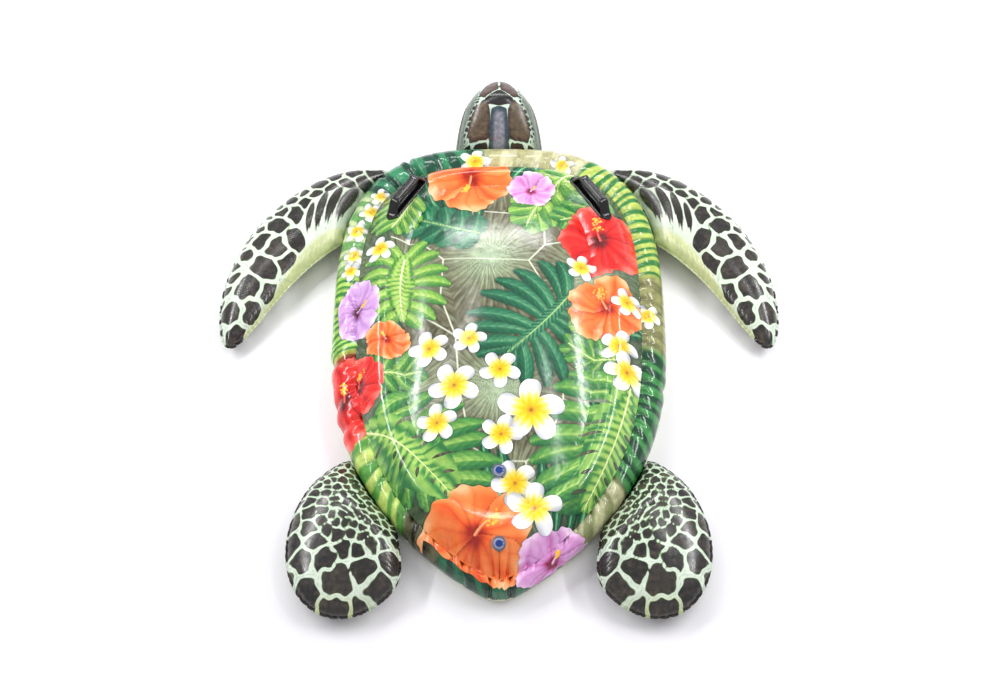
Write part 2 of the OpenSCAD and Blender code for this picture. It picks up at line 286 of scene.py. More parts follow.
def monstera(sheet, base, tip, bow, left, right, lobes, inks, sweep=(100, 42), body=0.16, slits=False,
             fat=1.0):
    """A split leaf: a body along the midrib, and lobes on both sides that bend towards the tip."""
    base, tip = np.array(base) * MM, np.array(tip) * MM
    run = tip - base
    length = np.hypot(*run)
    rib = midrib(base, tip, bow, 15)
    at = sheet.near((base + tip) / 2, length / 2 + max(left, right) * MM * 1.15)
    p = sheet.xy[at]
    spacing = length / lobes

    def side_vein(f, side, width):
        """Where a side vein leaves the midrib at the share f of it, its way, and how far it reaches."""
        profile = math.sin(math.pi * min(0.98, 0.24 + 0.72 * f)) ** 0.7
        way = turned(run / length, side * lerp(sweep[0], sweep[1], f))
        return rib[int(round(f * 14 * 0.96))], way, width * profile

    sides = ((1, left * MM), (-1, right * MM))
    for side, width in sides:
        for k in reversed(range(lobes)):
            root, way, reach = side_vein((k + 0.35) / lobes, side, width)
            end = root + way * reach + run / length * reach * 0.34
            lobe = curve([root, root + way * reach * 0.55, end], 7)
            edge, along, across = stroke(p, lobe, fat * spacing * LOBE_OUTLINE)
            vein = 0.2 * np.exp(-(across / 0.07) ** 2)
            fine = 0.05 * np.sin(along * 46 + np.abs(across) * 9) + 0.05 * np.sin(across * 17)
            shade = 0.2 + 0.3 * np.abs(across) + 0.2 * smooth(-across * side * 2 + 0.5) - vein + fine
            sheet.lay(at, edge, ramp(np.clip(shade + 0.26 * along, 0, 1), *inks), shadow=0.5)
    wide = body * (left + right) / 2 * MM
    edge, along, across = stroke(p, rib, wide * np.sin(np.pi * np.linspace(0.1, 0.98, 15)) ** 0.8)
    slant = along * lobes * 2 - np.abs(across) * 1.3
    veins = 0.5 + 0.5 * np.cos(2 * np.pi * slant)
    ink = ramp(np.clip(0.24 + 0.4 * veins ** 2 + 0.2 * np.abs(across), 0, 1), *inks)
    over = edge > 0
    sheet.lay(at[over], edge[over], ink[over])
    if slits:
        # oval slits between the side veins, where the ground shows through
        for side, width in sides:
            for k in range(1, lobes - 1):
                root, way, reach = side_vein((k + 0.85) / lobes, side, width)
                far = 0.46 + 0.1 * math.sin(k * 2.3)
                end = root + way * reach * far + run / length * reach * 0.05
                slit = curve([root + way * reach * 0.2, root + way * reach * far * 0.7, end], 5)
                gone = stroke(p, slit, spacing * SLIT_OUTLINE)[0]
                sheet.edge[at] = np.minimum(sheet.edge[at], -gone)
    edge = stroke(p, rib, np.linspace(2.6, 1.2, 15) * MM)[0]
    sheet.lay(at, edge, np.broadcast_to(linear(inks[0]), (len(at), 3)))


def strap_leaf(sheet, base, tip, width, bow, inks):
    """A long plain blade with a pale midrib."""
    base, tip = np.array(base) * MM, np.array(tip) * MM
    at = sheet.near((base + tip) / 2, np.hypot(*(tip - base)) * 0.6 + width * MM)
    edge, _, across = stroke(sheet.xy[at], midrib(base, tip, bow, 9), width * MM / 2 * STRAP_OUTLINE)
    shade = 0.25 + 0.6 * np.abs(across) + 0.15 * np.sin(across * 9) - 0.5 * np.exp(-(across / 0.1) ** 2)
    sheet.lay(at, edge, ramp(np.clip(shade, 0, 1), *inks), shadow=0.45)


def petal_frame(p, middle, turn, squeeze=(1, 1), lean=0):
    q = p - np.array(middle) * MM
    c, s = math.cos(math.radians(lean)), math.sin(math.radians(lean))
    q = np.stack([(c * q[:, 0] + s * q[:, 1]) / squeeze[0], (-s * q[:, 0] + c * q[:, 1]) / squeeze[1]], -1)
    r = np.hypot(q[:, 0], q[:, 1])
    return r, np.degrees(np.arctan2(q[:, 1], q[:, 0])) - turn


def hibiscus(sheet, middle, radius, turn, inks, stamen, squeeze=(1, 1), lean=0, petals=(0, 1, 2, 3, 4)):
    """Five broad ruffled petals with fanned veins, a dark throat and a long stamen with yellow dots."""
    big = radius * MM
    at = sheet.near(np.array(middle) * MM, big * 1.25)
    r, angle = petal_frame(sheet.xy[at], middle, turn, squeeze, lean)
    for order in petals:
        phi = (angle - 72 * order + 180) % 360 - 180
        bend = phi + 10 * np.sin(r / big * 3)
        ruffle = (0.035 * np.sin(np.radians(bend * 9 + order * 50))
                  + 0.02 * np.sin(np.radians(bend * 23 + 40 * order)))
        reach = big * (1.0 - 0.34 * np.abs(bend / 47) ** 3.2 + ruffle + 0.05 * math.sin(order * 2.1))
        fan = np.radians(47 - np.abs(bend)) * r
        edge = np.minimum(reach - r, fan)
        out = r / big
        vein = np.abs(np.sin(np.radians(bend * 6.5 + 14 * np.sin(out * 9 + order)))) ** 0.5
        fold = 0.5 + 0.5 * np.sin(np.radians(bend * 9 + order * 50 + 60))
        tone = 0.2 + 0.3 * vein + 0.3 * fold * out + 0.3 * smooth((out - 0.75) / 0.25)
        tone = tone * smooth((out - 0.08) / 0.3) + 0.12 * np.clip(bend / 47, -1, 1)
        ink = ramp(np.clip(tone, 0, 1), *inks)
        sheet.lay(at, edge, ink, shadow=0.5)
    foot = np.array(middle) * MM
    way = turned(np.array([1.0, 0.0]), stamen[0])
    end = foot + way * stamen[1] * MM
    line = curve([foot, (foot + end) / 2 + turned(way, 90) * stamen[1] * MM * 0.08, end], 7)
    edge, _, across = stroke(sheet.xy[at], line, np.linspace(2.8, 1.8, 7) * MM * radius / 100)
    sheet.lay(at, edge, ramp(np.clip(0.5 - 0.5 * across, 0, 1), inks[-1], inks[1]), shadow=0.3)
    dots = np.random.default_rng(int(radius * 7 + middle[0]))
    for _ in range(26):
        f = dots.uniform(0.45, 1.04)
        spot = foot + (end - foot) * f + turned(way, 90) * dots.normal(0, stamen[1] * 0.09) * MM
        close = at[((sheet.xy[at] - spot) ** 2).sum(1) < (6 * MM) ** 2]
        d = np.linalg.norm(sheet.xy[close] - spot, axis=1)
        sheet.lay(close, radius / 100 * 2.2 * MM - d, np.broadcast_to(linear("#ffc23a"), (len(close), 3)))


def plumeria(sheet, middle, radius, turn):
    """Five white petals that overlap like a pinwheel, yellow towards the middle."""
    big = radius * MM
    at = sheet.near(np.array(middle) * MM, big * 1.15)
    r, angle = petal_frame(sheet.xy[at], middle, turn)
    for order in range(5):
        phi = np.radians((angle - 72 * order + 180) % 360 - 180)
        phi += 0.28 * (r / big - 0.4)
        u, v = r * np.cos(phi) / big, r * np.sin(phi) / big
        half = 0.33 * np.sqrt(np.clip(1 - ((u - 0.56) / 0.45) ** 2, 0, 1)) * (0.72 + 0.42 * u)
        edge = np.where((u > 0.11) & (u < 1.01), (half - np.abs(v)), -0.1) * big
        edge = np.minimum(edge, (1.0 - u) * big)
        glow = np.clip(1.16 - r / big * 1.6 + 0.1 * np.cos(v * 30), 0, 1)
        fold = np.clip(0.8 + v / np.maximum(half, 0.05) * 0.9, 0, 1)
        white = ramp(fold, "#c6c8cf", "#e9eaee", "#ffffff", "#ffffff")
        gold = ramp(glow, "#fff9d0", "#ffef86", "#ffd91c", "#fbbd08")
        ink = white + (gold - white) * smooth(glow * 2.1)[:, None]
        sheet.lay(at, edge, ink, shadow=0.3)
    sheet.lay(at, 0.15 * big - r, ramp(np.clip(r / big * 6, 0, 1), "#6b4a14", "#e2a21a", "#f7c52a"))


LIGHT_LEAF = ("#e9f2bd", "#b9d672", "#84b54a", "#488a3d", "#22612f")
MID_LEAF = ("#e4f0a8", "#a9cf66", "#629f49", "#2f783c", "#175433")
DARK_LEAF = ("#a3c577", "#5b9a72", "#27734f", "#155339", "#0b3a29")
STRAP = ("#7fc08a", "#2f8a5c", "#17613f", "#0d4630", "#08331f")
RED = ("#5e0509", "#c01418", "#e2221f", "#f2463a", "#f8776a")
ORANGE = ("#a81d0c", "#e4531f", "#f3722f", "#fb9350", "#ffc08a")
PINK = ("#8c0f3c", "#cf76b8", "#dd9ad6", "#efbbe6", "#f7dcf4")
LAVENDER = ("#5b0f35", "#b87fc4", "#cb9bd6", "#dcb6e6", "#efd6f4")

# Each line: middle x, y (mm), radius, turn
PLUMERIAS = (
    (-364, 222, 47, 25), (-205, -160, 62, 40), (-88, -137, 53, 12), (-130, -292, 76, 55),
    (-178, -406, 60, 30), (3, -242, 62, 60), (92, -373, 100, 25), (6, -449, 62, 8), (45, -593, 68, 50),
    (98, -668, 80, 20), (249, 146, 48, 15), (385, 26, 50, 45), (354, -140, 60, 5), (375, -224, 70, 35),
)
RIM_PLUMERIAS = (
    (-77, 618, 52, 10), (451, 10, 46, 60), (202, 600, 40, 20), (-402, 409, 40, 50), (-444, 335, 44, 5),
    (-449, 237, 38, 30), (-456, 180, 36, 55), (-375, 470, 34, 20),
)

# Each line: base x, y, tip x, y, width (mm)
TAIL_STRAPS = (
    (-115, -445, -97, -612, 46), (-45, -485, -28, -620, 44), (-145, -516, -131, -620, 40),
    (5, -500, 20, -640, 44),
    (163, -496, 157, -740, 48), (215, -533, 195, -720, 44), (258, -600, 225, -700, 40),
    (120, -520, 118, -720, 40),
    (300, -560, 270, -660, 36),
)
# Each line: base x, y, tip x, y (mm), bow, width to the left and right (mm), lobes, inks, what else differs
SPLIT_LEAVES = (
    (238, 530, 85, 295, -0.16, 95, 75, 6, LIGHT_LEAF, {}),
    (330, 420, 190, 330, 0.1, 60, 70, 5, MID_LEAF, {}),
    (-60, 260, -330, 400, 0.1, 70, 60, 6, DARK_LEAF, {}),
    (-270, 420, -330, 300, 0.1, 50, 90, 5, LIGHT_LEAF, {}),
    (-400, -250, -225, -235, 0.12, 90, 60, 6, MID_LEAF, {}),
    (-288, 185, -285, -40, -0.1, 150, 150, 7, LIGHT_LEAF,
     {"sweep": (155, 40), "body": 0.3, "slits": True, "fat": 0.95}),
    (214, 40, 15, -195, 0.08, 190, 205, 9, DARK_LEAF, {"sweep": (150, 38), "body": 0.1}),
    (375, -90, 215, -60, -0.1, 40, 60, 4, LIGHT_LEAF, {}),
    (340, -190, 205, -140, 0.15, 55, 60, 5, MID_LEAF, {}),
    (-385, -400, -120, -640, 0.1, 200, 115, 8, MID_LEAF,
     {"sweep": (112, 34), "body": 0.55, "slits": True, "fat": 0.88}),
    (385, -270, 240, -650, 0.08, 90, 215, 8, MID_LEAF,
     {"sweep": (110, 38), "body": 0.55, "slits": True, "fat": 0.88}),
)


def shell_leaves(sheet):
    # dark fans behind the rest
    for k in range(26):
        t = 100 + k * 14.5
        foot = hull_plan(t, 215 * MM) / MM
        head = hull_plan(t + (9 if k % 2 else -7), 40 * MM) / MM
        strap_leaf(sheet, foot, head, 44, 0.1 if k % 2 else -0.1, STRAP)
    for x0, x1 in ((-300, -330), (-262, -285), (-222, -240), (-180, -185), (-135, -130), (-95, -70)):
        strap_leaf(sheet, (x0 * 0.86 + 20, 335), (x1 + 10, 470), 44, 0.03, STRAP)
    for x0, y0, x1, y1, w in TAIL_STRAPS:
        strap_leaf(sheet, (x0, y0), (x1, y1), w, 0.06, STRAP)
    for x0, y0, x1, y1, *rest, more in SPLIT_LEAVES:
        monstera(sheet, (x0, y0), (x1, y1), *rest, **more)


# Each line: middle (mm), radius, turn, inks, the stamen's direction and length, and what else differs
LAVENDER_FLOWER = ((-428, 21), 104, 20, LAVENDER, (40, 36), {"squeeze": (0.68, 1.05)})
TAIL_FLOWERS = (
    ((-66, -748), 152, 100, ORANGE, (45, 95), {"petals": (0, 2, 4, 1, 3)}),
    ((150, -800), 108, 35, PINK, (60, 40), {"squeeze": (1.12, 0.7), "lean": 35}),
)
SHELL_FLOWERS = (
    ((-88, 505), 140, 200, ORANGE, (250, 60), {"petals": (3, 4, 1, 2, 0)}),
    ((100, 452), 72, 90, PINK, (60, 26), {}),
    ((322, -5), 118, 150, ORANGE, (105, 80), {"petals": (2, 4, 1, 3, 0)}),
    ((312, 250), 132, 40, RED, (100, 84), {}),
    LAVENDER_FLOWER,
    ((-332, -117), 68, 70, ORANGE, (120, 30), {}),
    ((-412, -250), 92, 20, RED, (85, 50), {"squeeze": (0.85, 1.0)}),
)
RIM_FLOWERS = (LAVENDER_FLOWER, ((-455, -290), 138, 0, RED, (95, 60), {"squeeze": (0.72, 1.08)}))


def scute_lines(p):
    """Cream borders between the shell's plates, as distance inside them."""
    lines = (
        ((-236, 237), (-169, 161), (90, 149), (139, 215)),
        ((-236, 237), (-190, 300), (-120, 342), (-49, 355), (40, 345), (100, 318), (139, 282), (139, 215)),
        ((-244, -28), (-128, -126), (-115, -300), (-80, -484), (-10, -531), (76, -529), (137, -490),
         (185, -330), (190, -150), (171, -11), (90, 149)),
        ((-169, 161), (-175, 20), (-128, -126)),
        ((139, 215), (270, 260)), ((-236, 237), (-330, 262)), ((-244, -28), (-380, -60)),
        ((-80, -484), (-190, -560)), ((137, -490), (230, -540)), ((-10, -531), (-6, -700)),
        ((76, -529), (84, -700)), ((185, -330), (330, -370)), ((-115, -300), (-300, -330)),
    )
    edge = np.full(len(p), OUTSIDE)
    for line in lines:
        pts = np.array(line) * MM
        edge = np.maximum(edge, stroke(p, pts, np.full(len(pts), 2.0 * MM))[0])
    return edge


def shell_ground(p):
    """Olive plates, each with dark streaks that fan out from its middle."""
    middles = np.array([(-30, 165), (0, -300), (-300, 110), (300, 120), (-290, -300), (330, -300), (30, -640),
                        (0, 560)]) * MM
    d = np.linalg.norm(p[:, None] - middles[None], axis=2)
    nearest = d.argmin(1)
    q = p - middles[nearest]
    r = np.hypot(q[:, 0], q[:, 1])
    a = np.arctan2(q[:, 1], q[:, 0])
    streak = (np.sin(a * 37 + 2 * np.sin(r * 40)) + np.sin(a * 61 + 1.3) + 0.8 * np.sin(a * 97 + r * 25)) / 3
    tone = 0.88 - 3.1 * np.clip(r - 0.02, 0, 0.17) + 0.3 * streak * smooth(r / 0.06)
    return ramp(np.clip(tone, 0, 1), "#3a3526", "#55523a", "#73735a", "#8d9a78", "#b5cbaa")


RIM_ZONES = (  # from station, to station, dark ink, light ink, stripe length (mm)
    (-8, 5, "#78784e", "#94965f", 47), (5, 62, "#2f7d3a", "#b9cc62", 36), (62, 92, "#b0ad7c", "#cfcba2", 90),
    (92, 142, "#124632", "#2f8057", 76), (142, 174, "#6aa05a", "#c9dca6", 52),
    (174, 189, "#35843a", "#a9d060", 27), (189, 208.5, "#b3161a", "#e23328", 46),
    (208.5, 229.5, "#5a9f44", "#c6de72", 64),
    (229.5, 241, "#23261a", "#5b5a3e", 48), (241, 300, "#0c3524", "#1f6a45", 70),
    (300, 321, "#8f9466", "#c3c396", 80), (321, 352, "#0f4229", "#3c8a45", 46),
)


def rim_ground(t, run, angle):
    """Plain bands of printed leaf round the tube, with stripes across it."""
    ink = np.zeros(t.shape + (3,))
    total = np.zeros(t.shape)
    for start, end, dark, light, length in RIM_ZONES:
        wobble = 9 * np.sin(np.radians(angle * 1.7) + run * 21) + 5 * np.sin(run * 55)
        phase = (run / MM + wobble) / length
        stripe = smooth(0.5 + 0.9 * np.sin(2 * np.pi * phase) + 0.35 * np.sin(2 * np.pi * phase * 2.3 + 1))
        middle, half = (start + end) / 2, (end - start) / 2
        far = np.abs(from_station(t, middle)) - half
        weight = 1 - smooth((far + 1) / 2)
        ink += weight[..., None] * (linear(dark) + (linear(light) - linear(dark)) * stripe[..., None])
        total += weight
    return ink / np.maximum(total, 1e-6)[..., None]


def shell_print(p, ground, on_rim=False):
    """All the layers of the shell or the rim at the plan points p, as mesh attributes."""
    leaves, blooms, stars = Print(p), Print(p), Print(p)
    if not on_rim:
        shell_leaves(leaves)
    for *flower, more in (RIM_FLOWERS if on_rim else SHELL_FLOWERS) + TAIL_FLOWERS:
        hibiscus(blooms, *flower, **more)
    for x, y, r, turn in RIM_PLUMERIAS if on_rim else PLUMERIAS:
        plumeria(stars, (x, y), r, turn)
    return {
        "ground_ink": ground,
        "line_edge": np.full(len(p), OUTSIDE) if on_rim else scute_lines(p),
        "leaf_edge": leaves.edge, "leaf_ink": leaves.ink,
        "bloom_edge": blooms.edge, "bloom_ink": blooms.ink,
        "star_edge": stars.edge, "star_ink": stars.ink,
    }


# ---- materials
def add(tree, kind, inputs=None, **props):
    """Adds a node with its settings, and its inputs as numbers or as sockets to link."""
    n = tree.nodes.new(kind)
    for key, value in props.items():
        setattr(n, key, value)
    for key, value in (inputs or {}).items():
        if isinstance(value, bpy.types.NodeSocket):
            tree.links.new(value, n.inputs[key])
        else:
            n.inputs[key].default_value = value
    return n


def new_material(name):
    material = bpy.data.materials.new(name)
    material.use_nodes = True
    material.node_tree.nodes.clear()
    return material, material.node_tree


def laid_over(tree, ink, *layers):
    """Inks printed one over another, each where its mask is 1."""
    for mask, over in layers:
        # 0 is the mix's factor; 6, 7 and its output 2 are its colours
        ink = add(tree, "ShaderNodeMix", {0: mask, 6: ink, 7: over}, data_type="RGBA").outputs[2]
    return ink


def edge_mask(tree, attribute, soft=0.0007, start=0.0):
    """1 inside a printed shape and 0 outside, with an edge as soft as a halftone dot."""
    far = add(tree, "ShaderNodeAttribute", attribute_name=attribute).outputs["Fac"]
    return add(tree, "ShaderNodeMapRange", {"Value": far, "From Min": start - soft, "From Max": start + soft},
               interpolation_type="SMOOTHSTEP").outputs["Result"]


def vinyl_surface(tree, ink, roughness=0.16):
    """Calendered PVC film: wet-looking gloss, with a faint waviness that breaks highlights up."""
    place = add(tree, "ShaderNodeNewGeometry").outputs["Position"]
    wave = add(tree, "ShaderNodeTexNoise", {"Vector": place, "Scale": 26.0, "Detail": 3.0, "Roughness": 0.55})
    fine = add(tree, "ShaderNodeTexNoise", {"Vector": place, "Scale": 160.0, "Detail": 2.0})
    swell = add(tree, "ShaderNodeBump", {"Height": wave.outputs["Fac"], "Distance": 0.0016, "Strength": 0.5})
    grain = add(tree, "ShaderNodeBump", {"Height": fine.outputs["Fac"], "Distance": 0.0002, "Strength": 0.3,
                                         "Normal": swell.outputs["Normal"]})
    rough = add(tree, "ShaderNodeMapRange", {"Value": wave.outputs["Fac"], "From Min": 0.3, "From Max": 0.7,
                                             "To Min": roughness * 0.75, "To Max": roughness * 1.35})
    skin = add(tree, "ShaderNodeBsdfPrincipled", {
        "Base Color": ink, "Roughness": rough.outputs["Result"], "IOR": 1.53,
        "Normal": grain.outputs["Normal"]})
    add(tree, "ShaderNodeOutputMaterial", {"Surface": skin.outputs["BSDF"]})


def flecks(tree, scale, detail, rough, source, result):
    """Flecks fixed in the film: noise, spread from one range to another."""
    place = add(tree, "ShaderNodeNewGeometry").outputs["Position"]
    noise = add(tree, "ShaderNodeTexNoise", {"Vector": place, "Scale": scale, "Detail": detail,
                                             "Roughness": rough})
    return add(tree, "ShaderNodeMapRange", {
        "Value": noise.outputs["Fac"], "From Min": source[0], "From Max": source[1],
        "To Min": result[0], "To Max": result[1]}).outputs["Result"]


def mottled(tree, ink, scale, dark, light):
    """Uneven ink, lighter and darker in flecks; the ink is a colour or the name of a printed one."""
    if isinstance(ink, str):
        ink = add(tree, "ShaderNodeAttribute", attribute_name=ink).outputs["Color"]
    level = flecks(tree, scale, 6.0, 0.7, (0.3, 0.72), (dark, light))
    return add(tree, "ShaderNodeVectorMath", {0: ink, "Scale": level}, operation="SCALE").outputs["Vector"]


def printed_shell_vinyl():
    """Gravure-printed PVC film: leaves and flowers over olive plates."""
    material, tree = new_material("printed_shell_vinyl_gravure")
    ink = mottled(tree, "ground_ink", 34.0, 0.62, 1.35)
    ink = laid_over(tree, ink, (edge_mask(tree, "line_edge", 0.002), rgba("#e6ead2")))
    for layer, low, high in (("leaf", 0.8, 1.22), ("bloom", 0.9, 1.12), ("star", 0.97, 1.03)):
        shade = edge_mask(tree, layer + "_edge", 0.004, -0.003)
        under = add(tree, "ShaderNodeMapRange", {"Value": shade, "To Min": 1.0, "To Max": 0.55})
        ink = add(tree, "ShaderNodeVectorMath", {0: ink, "Scale": under.outputs["Result"]},
                  operation="SCALE").outputs["Vector"]
        top = mottled(tree, layer + "_ink", 55.0, low, high)
        ink = laid_over(tree, ink, (edge_mask(tree, layer + "_edge"), top))
    vinyl_surface(tree, ink)
    return material


def printed_limb_vinyl():
    """Gravure-printed PVC film: dark cells in a pale mint network."""
    material, tree = new_material("printed_limb_vinyl_gravure")
    patch = flecks(tree, 42.0, 5.0, 0.65, (0.5, 0.75), (0.0, 0.34))
    dark = add(tree, "ShaderNodeAttribute", attribute_name="cell_ink").outputs["Color"]
    cell = laid_over(tree, dark, (patch, rgba("#7d6f5c")))
    # the brushed blotches are feathered like dry bristles
    brush = edge_mask(tree, "brush_edge", 0.006)
    place = add(tree, "ShaderNodeNewGeometry").outputs["Position"]
    hair = add(tree, "ShaderNodeTexNoise", {"Vector": place, "Scale": 120.0, "Detail": 3.0})
    thick = add(tree, "ShaderNodeMath", {0: brush, 1: 2.6}, operation="MULTIPLY").outputs["Value"]
    feather = add(tree, "ShaderNodeMath", {0: thick, 1: hair.outputs["Fac"]}, operation="SUBTRACT",
                  use_clamp=True).outputs["Value"]
    ink = laid_over(tree, mottled(tree, "ground_ink", 30.0, 0.82, 1.15),
                    (edge_mask(tree, "net_edge"), rgba("#94b89a")),
                    (edge_mask(tree, "cell_edge", *CELL_OUTLINE), rgba("#6d8f5c")),
                    (edge_mask(tree, "cell_edge"), cell), (feather, rgba("#26241d")))
    vinyl_surface(tree, ink, 0.23)
    return material


def printed_head_vinyl():
    """Gravure-printed PVC film: brown and black scales between mint lines."""
    material, tree = new_material("printed_head_vinyl_gravure")
    cell = mottled(tree, "cell_ink", 75.0, 0.55, 1.6)
    ink = laid_over(tree, mottled(tree, "ground_ink", 60.0, 0.75, 1.15),
                    (edge_mask(tree, "cell_edge", *CELL_OUTLINE), rgba("#b3cbb4")),
                    (edge_mask(tree, "cell_edge"), cell))
    vinyl_surface(tree, ink, 0.23)
    return material


def plain_belly_vinyl():
    """Unprinted cream PVC film, a little duller than the printed side."""
    material, tree = new_material("plain_belly_vinyl_film")
    vinyl_surface(tree, mottled(tree, linear(BELLY_CREAM), 12.0, 0.95, 1.04), 0.22)
    return material


def plain_surface(name, colour, roughness, ior=1.5, **more):
    """One colour without a print; a pair of roughnesses makes the gloss uneven."""
    material, tree = new_material(name)
    if isinstance(roughness, tuple):
        roughness = flecks(tree, 60.0, 2.0, 0.5, (0.0, 1.0), roughness)
    body = add(tree, "ShaderNodeBsdfPrincipled", {
        "Base Color": rgba(colour), "IOR": ior, "Roughness": roughness, **more})
    add(tree, "ShaderNodeOutputMaterial", {"Surface": body.outputs["BSDF"]})
    return material


SHELL_VINYL = printed_shell_vinyl()
LIMB_VINYL = printed_limb_vinyl()
HEAD_VINYL = printed_head_vinyl()
BELLY_VINYL = plain_belly_vinyl()
# injection-moulded black PVC: a polished mould face with faint flow marks
HANDLE_PLASTIC = plain_surface("handle_plastic_moulded", "#0b0b0d", (0.12, 0.24), 1.52)
# the plug's deep blue, which light enters a little way
VALVE_PLASTIC = plain_surface("valve_plastic_soft_blue", "#1c3f86", 0.18, **{
    "Subsurface Weight": 0.25, "Subsurface Radius": (0.2, 0.4, 1.0), "Subsurface Scale": 0.004})
# the stem's milky ring round the plug
STEM_PLASTIC = plain_surface("valve_stem_frosted_pvc", "#a9aec6", 0.3, **{
    "Subsurface Weight": 0.2, "Subsurface Radius": (0.5, 0.6, 1.0), "Subsurface Scale": 0.003})
# the clear weld flange, which the print shows through
FLANGE_PLASTIC = plain_surface("valve_flange_clear_pvc", "#d6e4f2", 0.12, **{"Transmission Weight": 0.9})


def soft_chamber(piece, slot, *stands_for, fill=0.95):
    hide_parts(*stands_for)


# ---- weld puckers
def crease_places(seed, shortest, longest):
    """Uneven places of the creases along a weld, as shares of its length, and how deep each is."""
    draw = np.random.default_rng(seed)
    steps = []
    while sum(steps) < 1:
        steps.append(draw.uniform(shortest, longest))
    places = np.cumsum(steps)
    return places / places[-1], draw.uniform(0.35, 1.0, len(places))


def pillows(run, places, depth):
    """Height of the puckered film at each place along a weld: 0 between creases, -1 in the deepest."""
    stops = np.concatenate([[0], places])
    depths = np.concatenate([[depth[-1]], depth])
    k = np.clip(np.searchsorted(stops, run, side="right") - 1, 0, len(stops) - 2)
    u = (run - stops[k]) / (stops[k + 1] - stops[k])
    near = lerp(depths[k], depths[k + 1], smooth(u))
    return -near * np.abs(2 * u - 1) ** 3.2


# ---- hull pieces
def hull_grid(count, inset, across):
    """A grid round the hull: each point's station, its place across, and how far round it lies, 0 to 1."""
    t, run, total = stations(count, inset)
    tt, vv = np.meshgrid(t, across, indexing="ij")
    return tt, vv, np.broadcast_to((run / total)[:, None], tt.shape), total


def hull_piece(name, points, faces, slot, panels, prints=None, **padding):
    """A skin that stays on the hull and stands for its panels."""
    piece = new_piece(name, points, faces, SHELL_VINYL if prints else BELLY_VINYL, prints)
    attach(piece, "hull")
    soft_chamber(piece, slot, *panels, **padding)
    return piece


RIM_CREASES, RIM_DEPTHS = crease_places(11, 0.0075, 0.019)
CREASE_PLACES, CREASE_DEPTHS = crease_places(23, 0.014, 0.034)
# each pair: station, depth in mm
DEEP_PINCHES = ((118, 15), (132, 11), (190, 12), (197, 9), (204, 12), (232, 10), (250, 9), (262, 13),
                (270, 16), (279, 12), (300, 8), (30, 6), (45, 7), (75, 6), (345, 7), (158, 8))
RING_PINCHES = ((247, 9), (256, 13), (264, 15), (271, 17), (278, 14), (287, 11), (296, 8), (118, 8), (132, 6),
                (190, 8), (202, 7), (60, 6), (345, 6))
HULL_STATIONS = 1180
RING_MIDDLE_INSET = 110 * MM


def rim_tube():
    upper = np.linspace(-38, 150, 54)
    lower = np.linspace(150, 322, 20)[1:-1]
    angle = np.concatenate([upper, lower])
    tt, aa, rr, total = hull_grid(HULL_STATIONS, 20 * MM, angle)
    r = RIM_R * tube_share(tt)
    rad = np.radians(aa)
    inset = r - r * np.cos(rad)
    below = np.where(np.sin(rad) < 0, FLAT_SHARE, 1.0)
    z = np.maximum(r + r * np.sin(rad) * below, 0)
    points = np.concatenate([hull_plan(tt, inset), z[..., None]], -1)
    blunt_from = rim_low.y + 30 * MM
    past = np.minimum(points[..., 1] - blunt_from, 0)
    points[..., 1] -= past * 0.5 * smooth(-past / (30 * MM))
    out = normals_of(points, True, True)
    weld_side = smooth((aa - 15) / 105) * (1 - smooth((aa - 185) / 60))
    outer_side = 0.22 * (1 - smooth((aa - 20) / 60))
    dip = pillows(rr, RIM_CREASES, RIM_DEPTHS) * 8.5 * MM * np.maximum(weld_side, outer_side)
    for station, depth in DEEP_PINCHES:
        far = from_station(tt, station) / 360 * total * 1.05
        width = 11 * MM
        lean = (aa - 90) / 90 * 12 * MM * (1 if station % 2 else -1)
        pinch = np.exp(-np.abs((far + lean) / width) ** 1.5)
        lift = np.exp(-((np.abs(far + lean) - 26 * MM) / (14 * MM)) ** 2)
        reach = np.maximum(weld_side, 0.55 * (1 - smooth((aa - 150) / 60)))
        dip += (0.3 * lift - pinch) * depth * 1.3 * MM * reach
    dip = np.where(aa > 200, dip * (1 - smooth((aa - 200) / 30)), dip)
    dip = np.where(aa < 0, dip * (1 - smooth(-aa / 38)), dip)
    points = points + out * dip[..., None]
    points[..., 2] = np.maximum(points[..., 2], 0)
    unrolled = r - r * np.radians(90 - np.minimum(aa, 175))
    plan = hull_plan(tt, unrolled).reshape(-1, 2)
    prints = shell_print(plan, rim_ground(tt, rr * total, aa).reshape(-1, 3), on_rim=True)
    belly = (aa < -22) | (aa > 196)
    hidden = np.where(belly, OUTSIDE, -OUTSIDE).ravel()
    for key in ("bloom_edge", "star_edge"):
        prints[key] = np.minimum(prints[key], hidden)
    # at the tail the flowers run on over the tube's inner half only
    tail = (tt > 236) & (tt < 318)
    inner_half = r * np.radians(aa - lerp(66, -8, smooth((tt - 274) / 6)) - 5 * np.sin(tt * 0.9))
    prints["bloom_edge"] = np.minimum(prints["bloom_edge"], np.where(tail, inner_half, -OUTSIDE).ravel())
    prints["ground_ink"][belly.ravel()] = linear(BELLY_CREAM)
    faces = grid_faces(HULL_STATIONS, len(angle), True, True)
    panels = ("rim_upper_panel", "rim_lower_panel")
    hull_piece("rim_tube", points, faces, "printed_shell_vinyl", panels, prints)


